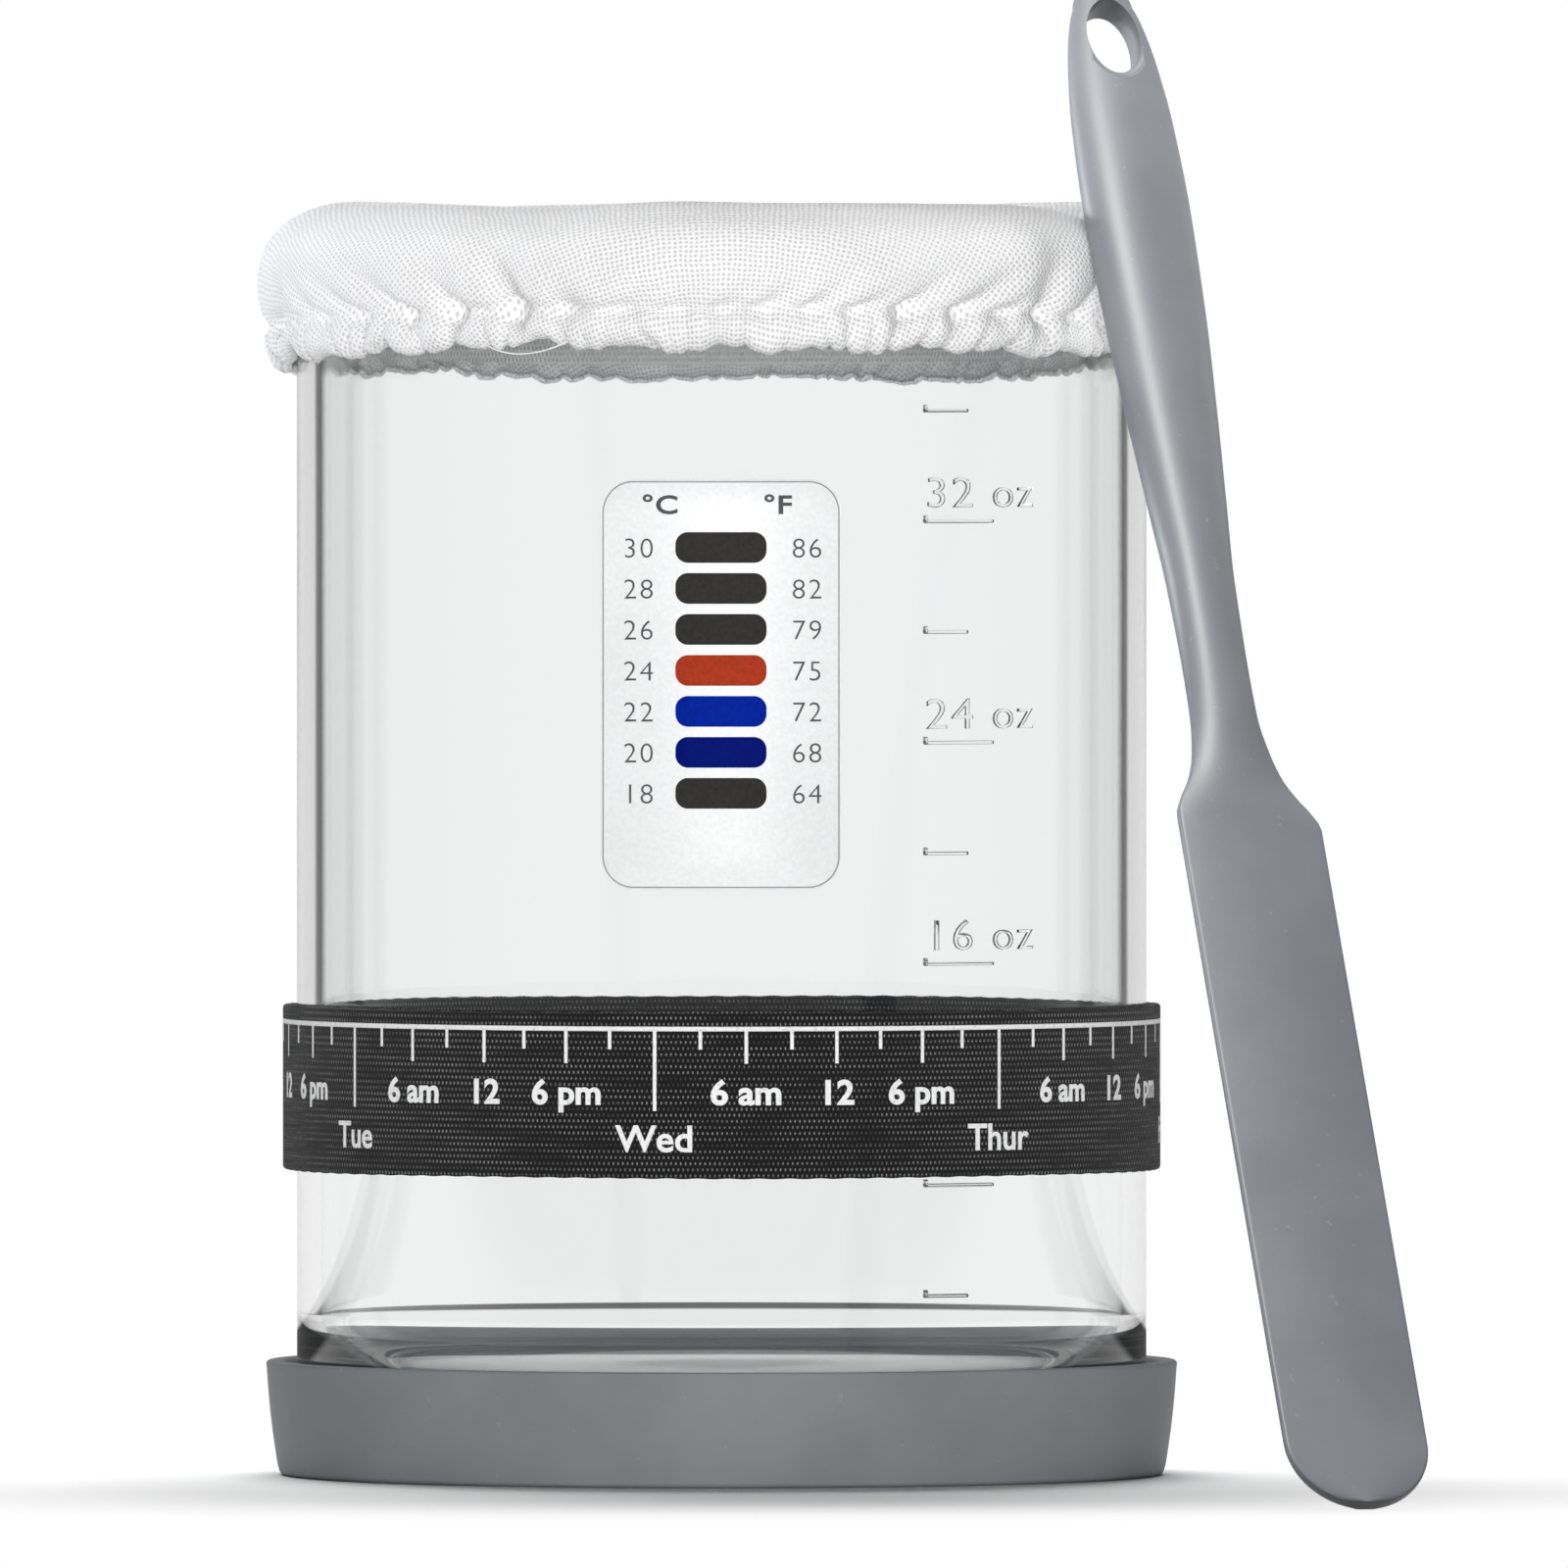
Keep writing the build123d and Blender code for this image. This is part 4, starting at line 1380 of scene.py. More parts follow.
@dataclass
class FeedingBand:
    """The elastic feeding band: webbing printed with a week of hours and days, sewn in a lap at the back."""

    inner_radius: float = 55.3 * MM
    thickness: float = 1.0 * MM
    low_edge: float = 39.3 * MM
    width: float = 21.1 * MM
    edge: float = 0.45 * MM
    line_level: float = 58.3 * MM
    line_height: float = 0.6 * MM
    ink_proud: float = 0.03 * MM
    first_day: float = -151.1
    day_turn: float = 47.5
    ticks_per_day: int = 8
    day_tick: float = 10.4 * MM
    six_tick: float = 4.4 * MM
    three_tick: float = 2.6 * MM
    tick_width: float = 0.46 * MM
    hour_baseline: float = 48.75 * MM
    hour_height: float = 3.15 * MM
    day_baseline: float = 42.75 * MM
    day_height: float = 3.45 * MM
    lap_bearing: float = 195.0
    lap_arc: float = 14.0
    lap_thickness: float = 0.8 * MM
    lap_margin: float = 0.4 * MM
    print_sunk: float = 0.05 * MM
    days: tuple[str, ...] = ("Sun", "Mon", "Tue", "Wed", "Thur", "Fri", "Sat")
    hours: tuple[str, ...] = ("6 am", "12", "6 pm")

    def build(self) -> None:
        """Make the webbing, its print, its lap and the finish of the rubber inside."""
        webbing = WebbingFinish("elastic_webbing").material()
        ink = InkFinish("white_ink", colour=(0.96, 0.96, 0.96), worn=(0.5, 0.5, 0.5)).material()
        outer = self.inner_radius + self.thickness
        loop = self.loop(webbing)
        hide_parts("band_webbing")
        lap = self.lap(webbing)
        printed = [self.line(ink, outer), self.ticks(ink, outer), self.words(ink, outer)]
        for piece in (loop, lap, *printed):
            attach(piece, Body.BAND.value)
        rubber = SiliconeFinish("band_rubber", (0.03, 0.03, 0.03), roughness=0.6)
        finish_node("band_rubber_core", rubber.material())
        log.info("band: webbing, lap, print and core")

    def loop(self, finish: Material) -> Item:
        """Turn the webbing loop and make it a little wavy at its edges.

        Args:
            finish: its finish.

        Returns:
            The loop.
        """
        edge, low, high = self.edge, self.low_edge, self.low_edge + self.width
        inner, outer = self.inner_radius, self.inner_radius + self.thickness
        profile = arc((outer - edge, low + edge), edge, -90, 0, 5)
        profile += [(outer, low + self.width * share) for share in np.linspace(0.06, 0.94, 22)]
        profile += arc((outer - edge, high - edge), edge, 0, 90, 5)
        profile += arc((inner + edge, high - edge), edge, 90, 180, 4)
        profile += [(inner, high - self.width * share) for share in np.linspace(0.1, 0.9, 6)]
        profile += arc((inner + edge, low + edge), edge, 180, 270, 4)
        loop = turned("band_loop", profile, 600, finish, ring=True)
        place = vertex_places(loop.data)
        turn = np.arctan2(place[:, 0], -place[:, 1])
        share = (place[:, 2] - low) / self.width
        place[:, 2] += 0.13 * MM * np.sin(5 * turn + 1) * (share - 0.4) + 0.05 * MM * np.sin(90 * turn)
        loop.data.vertices.foreach_set("co", place.ravel())
        write_run(loop, outer)
        return loop

    def lap(self, finish: Material) -> Item:
        """Make the sewn lap where the webbing's ends meet.

        Args:
            finish: its finish.

        Returns:
            The lap, closed all round.
        """
        outer = self.inner_radius + self.thickness
        half = math.radians(self.lap_arc) / 2 * outer
        columns, rows = 30, 12
        across = np.linspace(-half, half, columns)
        up = np.linspace(self.lap_margin, self.width - self.lap_margin, rows)
        grid_x, grid_y = np.meshgrid(across, up)
        bulge = 1 - 0.55 * np.abs(grid_x / half) ** 6
        out = self.lap_thickness * bulge + 0.05 * MM * np.sin(grid_x / (0.9 * MM))
        level = self.low_edge + grid_y
        front = on_jar(grid_x, level, out, outer, self.lap_bearing).reshape(-1, 3)
        back = on_jar(grid_x, level, 0 * out - 0.1 * MM, outer, self.lap_bearing).reshape(-1, 3)
        lap = new_piece("band_lap", np.concatenate([front, back]), slab_faces(rows, columns), finish)
        flat = np.stack([grid_x.ravel(), grid_y.ravel()], axis=1)
        write_map(lap.data, "run", flat[corner_numbers(lap.data) % len(flat)])
        bevel = lap.modifiers.new("edge", "BEVEL")
        bevel.width, bevel.segments, bevel.limit_method = 0.25 * MM, 2, "ANGLE"
        return finished_mesh(lap)

    def line(self, ink: Material, outer: float) -> Item:
        """Return the printed line that the ticks hang from.

        Args:
            ink: its finish.
            outer: radius of the webbing's outside.

        Returns:
            The closed line.
        """
        last_day = self.first_day + self.day_turn * len(self.days)
        turns = np.radians(np.linspace(self.first_day, last_day, 480))
        points, faces = [], []
        for turn in turns:
            for level, out in ((-0.5, 0.0), (0.5, 0.0), (0.5, 1.0), (-0.5, 1.0)):
                reach = outer + out * self.ink_proud - self.print_sunk * (1 - out)
                points.append((reach * math.sin(turn), -reach * math.cos(turn),
                               self.line_level + level * self.line_height))
        for number in range(len(turns) - 1):
            a, b = 4 * number, 4 * number + 4
            faces += [(a + 3, b + 3, b + 2, a + 2), (a + 1, b + 1, b, a), (a, b, b + 3, a + 3),
                      (a + 2, b + 2, b + 1, a + 1)]
        last = 4 * (len(turns) - 1)
        faces += [(0, 3, 2, 1), (last, last + 1, last + 2, last + 3)]
        return new_piece("band_line", points, faces, ink)

    def ticks(self, ink: Material, outer: float) -> Item:
        """Return the printed ticks: one for each three hours, longer at six hours and at each day.

        Args:
            ink: their finish.
            outer: radius of the webbing's outside.

        Returns:
            The ticks as one piece.
        """

        def rule(sheet: NodeSheet, given: dict) -> Socket:
            """Hang ticks from the line at an even pitch.

            Args:
                sheet: where the nodes go.
                given: the rule's sizes by name, as sockets.

            Returns:
                The ticks.
            """
            first = sheet.whole(y=given["Line level"], z=given["Out"])
            count = self.ticks_per_day * len(self.days) + 1
            line = sheet.add("GeometryNodeMeshLine",
                             {"Count": count, "Start Location": first,
                              "Offset": sheet.whole(given["Pitch"])}).outputs[0]
            number = sheet.add("GeometryNodeInputIndex").outputs[0]
            even = sheet.maths("LESS_THAN", sheet.maths("MODULO", number, 2.0), 0.5)
            day = sheet.maths("LESS_THAN", sheet.maths("MODULO", number, float(self.ticks_per_day)), 0.5)
            length = given["Three"]
            for chosen, longer, shorter in ((even, "Six", "Three"), (day, "Day", "Six")):
                gain = sheet.maths("SUBTRACT", given[longer], given[shorter])
                length = sheet.maths("ADD", length, sheet.maths("MULTIPLY", chosen, gain))
            block = sheet.add("GeometryNodeMeshCube", {"Size": (1.0, 1.0, 1.0), "Vertices Y": 6})
            hung = sheet.add("GeometryNodeTransform",
                             {"Geometry": block.outputs[0], "Translation": (0.0, -0.5, 0.0)}).outputs[0]
            laid = repeated(sheet, line, hung, sheet.whole(given["Width"], length, given["Thickness"]))
            real = sheet.add("GeometryNodeRealizeInstances", {"Geometry": laid}).outputs[0]
            return bent_round_jar(sheet, real, given["Radius"], given["First bearing"])

        sizes = {
            "Pitch": math.radians(self.day_turn) / self.ticks_per_day * outer,
            "Line level": self.line_level,
            "Out": -0.01 * MM,
            "Three": self.three_tick,
            "Six": self.six_tick,
            "Day": self.day_tick,
            "Width": self.tick_width,
            "Thickness": 2 * (self.ink_proud + 0.01 * MM),
            "Radius": outer,
            "First bearing": math.radians(self.first_day),
        }
        return grown("band_ticks", sizes, rule, ink)

    def words(self, ink: Material, outer: float) -> Item:
        """Return the printed hours and days.

        Args:
            ink: their finish.
            outer: radius of the webbing's outside.

        Returns:
            The words as one piece.
        """
        text = Lettering("band_words", outer, self.ink_proud, self.print_sunk)
        for number, day in enumerate(self.days):
            start = self.first_day + number * self.day_turn
            text.write(day, start, self.day_baseline, self.day_height, weight=0.09 * MM, width=1.04)
            for order, hour in enumerate(self.hours, 1):
                bearing = start + self.day_turn * order / (len(self.hours) + 1)
                text.write(hour, bearing, self.hour_baseline, self.hour_height, weight=0.13 * MM, width=1.08)
        return text.piece(ink)


@dataclass
class Thermometer:
    """The strip thermometer: a satin silver film with a bar and two numbers for each temperature."""

    film_radius: float = 54.79 * MM
    film_thickness: float = 0.27 * MM
    low_edge: float = 76.0 * MM
    width: float = 30.7 * MM
    height: float = 52.0 * MM
    corner: float = 4.2 * MM
    bar_width: float = 11.6 * MM
    bar_height: float = 3.9 * MM
    bar_corner: float = 1.6 * MM
    bar_pitch: float = 5.2 * MM
    top_drop: float = 8.6 * MM
    print_proud: float = 0.02 * MM
    print_sunk: float = 0.03 * MM
    number_height: float = 2.65 * MM
    celsius_across: float = -10.55 * MM
    fahrenheit_across: float = 11.0 * MM
    celsius_heading: float = -7.8 * MM
    fahrenheit_heading: float = 7.2 * MM
    heading_level: float = 123.7 * MM
    heading_height: float = 2.4 * MM
    celsius: tuple[int, ...] = (30, 28, 26, 24, 22, 20, 18)
    fahrenheit: tuple[int, ...] = (86, 82, 79, 75, 72, 68, 64)
    colours: tuple[str, ...] = ("dark", "dark", "dark", "red", "blue", "deep_blue", "dark")

    def build(self) -> None:
        """Make the film, its bars and its numbers, and finish the layers behind it."""
        face = self.film_radius + self.film_thickness
        middle = self.low_edge + self.height / 2
        line = OutlineFinish(self.film_radius, middle, self.width, self.height, self.corner)
        finish = FilmFinish("satin_silver", (0.9, 0.905, 0.91), roughness=0.34, metallic=0.12, grain=0.035,
                            coat=0.2, outline=line)
        film = self.patch("thermometer_film", self.width, self.height, self.corner, middle,
                          self.film_radius, self.film_thickness, finish.material())
        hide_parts("thermometer_face", "thermometer_laminate")
        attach(film, Body.JAR.value)
        gloss = {"roughness": 0.3, "shine": 0.05}
        finishes = {
            "dark": FilmFinish("cell_dark", (0.03, 0.029, 0.028), grain=0.12, **gloss),
            "red": FilmFinish("cell_red", (0.38, 0.04, 0.014), grain=0.1, **gloss),
            "blue": FilmFinish("cell_blue", (0.0, 0.016, 0.29), grain=0.12, **gloss),
            "deep_blue": FilmFinish("cell_deep_blue", (0.0, 0.006, 0.15), grain=0.12, **gloss),
        }
        for colour, finish in finishes.items():
            bars = self.bars(colour, face, finish.material())
            if colour != "deep_blue":
                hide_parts(f"thermometer_cells_{colour}")
            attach(bars, Body.JAR.value)
        ink = InkFinish("grey_ink", colour=(0.075, 0.075, 0.08), worn=(0.14, 0.14, 0.14)).material()
        numbers = self.numbers(face, ink)
        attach(numbers, Body.JAR.value)
        layers = {
            "thermometer_adhesive": FilmFinish("clear_adhesive", (0.8, 0.8, 0.77), roughness=0.3, alpha=0.35),
            "thermometer_backing": FilmFinish("black_backing", (0.02, 0.02, 0.02), roughness=0.45),
        }
        for node, finish in layers.items():
            finish_node(node, finish.material())
        log.info("thermometer: film, bars, numbers and layers")

    @staticmethod
    def patch(name: str, width: float, height: float, corner: float, middle: float,
              radius: float, thickness: float, finish: Material) -> Item:
        """Return a round-cornered patch bent to the jar.

        Args:
            name: the piece's name.
            width: its width along the glass.
            height: its height.
            corner: radius of its corners.
            middle: height of its middle.
            radius: radius of its back.
            thickness: how thick it is.
            finish: its finish.

        Returns:
            The closed patch.
        """
        bend = np.linspace(0, 90, 10)
        edge = corner * (1 - np.cos(np.radians(bend)))
        inside = np.linspace(corner, width - corner, 26)[1:-1]
        columns = np.concatenate([edge, inside, width - edge[::-1]]) - width / 2
        depth = np.concatenate([edge, np.full(len(inside), corner), edge[::-1]])
        half = height / 2 - corner + np.sqrt(np.maximum(corner**2 - (corner - depth) ** 2, 0))
        share = np.linspace(-1, 1, 15)
        grid_x = np.tile(columns, (len(share), 1))
        grid_y = share[:, None] * half[None, :]
        sides = [on_jar(grid_x, middle + grid_y, out + 0 * grid_x, radius, 0.0).reshape(-1, 3)
                 for out in (thickness, 0.0)]
        patch = new_piece(name, np.concatenate(sides), slab_faces(len(share), len(columns)), finish)
        bevel = patch.modifiers.new("edge", "BEVEL")
        bevel.width, bevel.segments, bevel.limit_method = thickness * 0.4, 2, "ANGLE"
        finished_mesh(patch).data.set_sharp_from_angle(angle=math.radians(50))
        return patch

    def bars(self, colour: str, face: float, finish: Material) -> Item:
        """Make the bars of one colour as one piece.

        Args:
            colour: the colour's name in the list of bars.
            face: radius of the film's outside.
            finish: their finish.

        Returns:
            The bars.
        """
        top = self.low_edge + self.height - self.top_drop
        made = [
            self.patch(f"bar_{number}", self.bar_width, self.bar_height, self.bar_corner,
                       top - number * self.bar_pitch, face, self.print_proud, finish)
            for number, each in enumerate(self.colours) if each == colour
        ]
        joined = bmesh.new()
        for bar in made:
            joined.from_mesh(bar.data)
            bpy.data.objects.remove(bar)
        mesh = bpy.data.meshes.new(f"thermometer_bars_{colour}")
        joined.to_mesh(mesh)
        joined.free()
        mesh.materials.append(finish)
        return linked(f"thermometer_bars_{colour}", mesh)

    def numbers(self, face: float, ink: Material) -> Item:
        """Return the printed temperatures and their two headings.

        Args:
            face: radius of the film's outside.
            ink: their finish.

        Returns:
            The numbers as one piece.
        """
        text = Lettering("thermometer_numbers", face, self.print_proud, self.print_sunk)
        top = self.low_edge + self.height - self.top_drop
        headings = (("°C", self.celsius_heading), ("°F", self.fahrenheit_heading))
        for heading, across in headings:
            text.write(heading, math.degrees(across / face), self.heading_level, self.heading_height,
                       weight=0.07 * MM, width=1.28, spacing=1.05)
        scales = ((self.celsius_across, self.celsius), (self.fahrenheit_across, self.fahrenheit))
        for across, values in scales:
            for number, value in enumerate(values):
                level = top - number * self.bar_pitch - self.number_height / 2
                text.write(str(value), math.degrees(across / face), level, self.number_height,
                           weight=-0.045 * MM, width=1.05, spacing=1.12)
        return text.piece(ink)


@dataclass
class Spatula:
    """The silicone spatula that leans on the cover: a thin crowned blade that grows into an oval handle."""

    # the blade's end and the directions of width, length and face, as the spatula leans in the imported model
    origin: Place = (79.655 * MM, -138.3502 * MM, 0.4251 * MM)
    across: Place = (0.957541, 0.286608, -0.031167)
    along: Place = (-0.136423, 0.545692, 0.826806)
    facing: Place = (0.253977, -0.787449, 0.561623)
    length: float = 230.5 * MM
    end_radius: float = 9.2 * MM
    blade_height: float = 96.0 * MM
    blade_edge: float = 0.62 * MM
    tip_height: float = 4.5 * MM
    hole_drop: float = 9.4 * MM
    hole_width: float = 6.8 * MM
    hole_length: float = 11.4 * MM
    hole_rounding: float = 1.1 * MM
    colour: Colour = (0.215, 0.226, 0.245)

    # height above the blade's end, reach to the left and to the right, half thickness, in millimetres
    stations: tuple[tuple[float, float, float, float], ...] = (
        (0.0, 8.3, 10.4, 1.1), (60.0, 8.3, 10.4, 1.55), (96.0, 8.3, 10.4, 1.9), (101.0, 8.3, 10.4, 2.0),
        (103.5, 8.25, 9.3, 2.1), (105.5, 7.6, 7.9, 2.15), (108.5, 6.1, 6.3, 2.3), (112.0, 5.05, 5.3, 2.5),
        (118.0, 4.35, 4.4, 2.9), (126.0, 4.2, 4.25, 3.35), (138.0, 4.4, 4.4, 3.75), (150.0, 5.1, 5.1, 4.1),
        (165.0, 6.0, 6.0, 4.5), (180.0, 6.7, 6.7, 4.75), (196.0, 7.0, 7.0, 4.7), (208.0, 6.7, 6.7, 4.3),
        (217.0, 5.95, 5.95, 3.65), (223.5, 4.9, 4.9, 2.9), (227.5, 3.6, 3.6, 2.1), (229.8, 2.0, 2.0, 1.25),
        (230.5, 0.0, 0.0, 0.0),
    )

    def build(self) -> Item:
        """Make the spatula, finish its hidden core and return the silicone."""
        silicone = SiliconeFinish("spatula_silicone", self.colour, roughness=0.4, shine=0.5).material()
        body = self.body(silicone)
        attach(body, Body.SPATULA.value)
        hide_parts("spatula_silicone")
        nylon = FilmFinish("filled_nylon", (0.2, 0.2, 0.2), roughness=0.5, grain=0.15)
        finish_node("spatula_core", nylon.material())
        log.info("spatula: silicone and core")
        return body

    def sizes(self) -> np.ndarray:
        """Return rows of height, left reach, right reach and half thickness, close together, in metres."""
        table = np.array(self.stations) * MM
        end = self.end_radius * (1 - np.cos(np.linspace(0, math.pi / 2, 18)))
        tip_start = self.length - self.tip_height
        top = self.length - self.tip_height * (1 - np.sin(np.linspace(0, math.pi / 2, 14)))
        rows = np.concatenate([end, np.linspace(self.end_radius, self.blade_height, 22)[1:],
                               np.arange(self.blade_height, top[0], 1.0 * MM)[1:], top])
        columns = [rows]
        for number in (1, 2, 3):
            columns.append(self.eased(table[:, 0], table[:, number], rows))
        made = np.stack(columns, axis=1)
        blade = rows < self.end_radius
        gone = np.sqrt(np.maximum(self.end_radius**2 - (self.end_radius - rows[blade]) ** 2, 0))
        for number in (1, 2):
            made[blade, number] -= self.end_radius - gone
        tip = rows > tip_start
        share = np.clip((rows[tip] - tip_start) / self.tip_height, 0, 1)
        start = np.argmax(tip)
        for number in (1, 2, 3):
            made[tip, number] = made[start, number] * np.sqrt(np.maximum(1 - share**2.2, 0))
        return made

    @staticmethod
    def eased(places: np.ndarray, values: np.ndarray, at: np.ndarray) -> np.ndarray:
        """Read values between stations off a smooth line that doesn't overshoot.

        Args:
            places: where the stations are, in order.
            values: their values.
            at: where the line is read.

        Returns:
            The value at each of those places.
        """
        slope = np.diff(values) / np.diff(places)
        tangent = np.zeros(len(values))
        for number in range(1, len(values) - 1):
            before, after = slope[number - 1], slope[number]
            tangent[number] = 0 if before * after <= 0 else 2 * before * after / (before + after)
        tangent[0], tangent[-1] = slope[0], slope[-1]
        found = np.clip(np.searchsorted(places, at, side="right") - 1, 0, len(places) - 2)
        step = np.diff(places)[found]
        share = (at - places[found]) / step
        return (values[found] * (1 + 2 * share) * (1 - share) ** 2
                + values[found + 1] * share**2 * (3 - 2 * share)
                + step * (tangent[found] * share * (1 - share) ** 2
                          - tangent[found + 1] * share**2 * (1 - share)))

    def body(self, finish: Material) -> Item:
        """Make the silicone flat, cut its hanging hole and lean it on the cover.

        Args:
            finish: its finish.

        Returns:
            The silicone, in its place on the cover.
        """
        rows = self.sizes()
        around = 72
        turn = np.arange(around) * math.tau / around
        edge = self.blade_edge
        points = []
        for height, left, right, half in rows:
            oval = float(np.clip((height - 100 * MM) / (34 * MM), 0, 1))
            oval = oval * oval * (3 - 2 * oval)
            middle, reach = (right - left) / 2, (right + left) / 2
            x = middle + reach * np.cos(turn)
            crown = np.sin(turn)
            thin = np.sign(crown) * (edge * np.minimum(np.abs(crown) * 5, 1) ** 0.5
                                     + (half - edge) * crown**2)
            z = (1 - oval) * thin * min(1.0, half / edge) + oval * half * crown
            points += [(x[n], height, z[n]) for n in range(around)]
        faces = tube_faces(len(rows), around)
        faces.append(tuple(range(around)))
        faces.append(tuple(range((len(rows) - 1) * around, len(rows) * around))[::-1])
        body = new_piece("spatula_body", points, faces, finish)
        mesh = bmesh.new()
        mesh.from_mesh(body.data)
        bmesh.ops.remove_doubles(mesh, verts=mesh.verts, dist=1e-6)
        bmesh.ops.recalc_face_normals(mesh, faces=mesh.faces)
        mesh.to_mesh(body.data)
        mesh.free()
        body.data.polygons.foreach_set("use_smooth", [True] * len(body.data.polygons))
        cutter = self.hole_cutter(finish)
        cut = body.modifiers.new("hole", "BOOLEAN")
        cut.object, cut.operation, cut.solver = cutter, "DIFFERENCE", "EXACT"
        finished_mesh(body)
        bpy.data.objects.remove(cutter)
        place = Matrix((*zip(self.across, self.along, self.facing, self.origin), (0.0, 0.0, 0.0, 1.0)))
        body.data.transform(place)
        body.data.set_sharp_from_angle(angle=math.radians(45))
        return body

    def hole_cutter(self, finish: Material) -> Item:
        """Make the shape that cuts the hanging hole and rounds its rims.

        Args:
            finish: its finish.

        Returns:
            The cutter.
        """
        around, rounding, half = 72, self.hole_rounding, 3.0 * MM
        levels, grows = [], []
        for turn in np.linspace(0, math.pi / 2, 8):
            levels.append(half - rounding + rounding * math.sin(turn))
            grows.append(rounding * (1 - math.cos(turn)))
        levels, grows = [*levels, 7 * MM], [*grows, rounding + 3 * MM]
        levels = [-level for level in levels[::-1]] + levels
        grows = grows[::-1] + grows
        middle = self.length - self.hole_drop
        points = []
        for level, grow in zip(levels, grows):
            wide, long = self.hole_width / 2 + grow, self.hole_length / 2 + grow
            for number in range(around):
                turn = math.tau * number / around
                points.append((wide * math.cos(turn), middle + long * math.sin(turn), level))
        faces = [(a, d, c, b) for a, b, c, d in tube_faces(len(levels), around)]
        faces.append(tuple(range(around))[::-1])
        faces.append(tuple(range((len(levels) - 1) * around, len(levels) * around)))
        return new_piece("hole_cutter", points, faces, finish)


@dataclass(frozen=True)
class Lamp:
    """A soft rectangular lamp. A beam of 180 degrees is open, and a mirrored lamp shows in shiny faces."""

    name: str
    place: Place
    target: Place
    size: Pair
    power: float
    beam: float = 180.0
    colour: Colour = (1.0, 1.0, 1.0)
    mirrored: bool = True

    def build(self) -> Item:
        """Put the lamp into the scene, facing its target, and return it."""
        data = bpy.data.lights.new(self.name, "AREA")
        data.shape, data.energy, data.color = "RECTANGLE", self.power, self.colour
        data.size, data.size_y = self.size
        data.spread = math.radians(self.beam)
        lamp = linked(self.name, data)
        lamp.location = self.place
        lamp.rotation_mode = "QUATERNION"
        lamp.rotation_quaternion = (Vector(self.target) - Vector(self.place)).to_track_quat("-Z", "Y")
        lamp.visible_transmission = False
        lamp.visible_glossy = self.mirrored
        return lamp


COVER_MIDDLE: Place = (0.0, 0.0, 0.155)


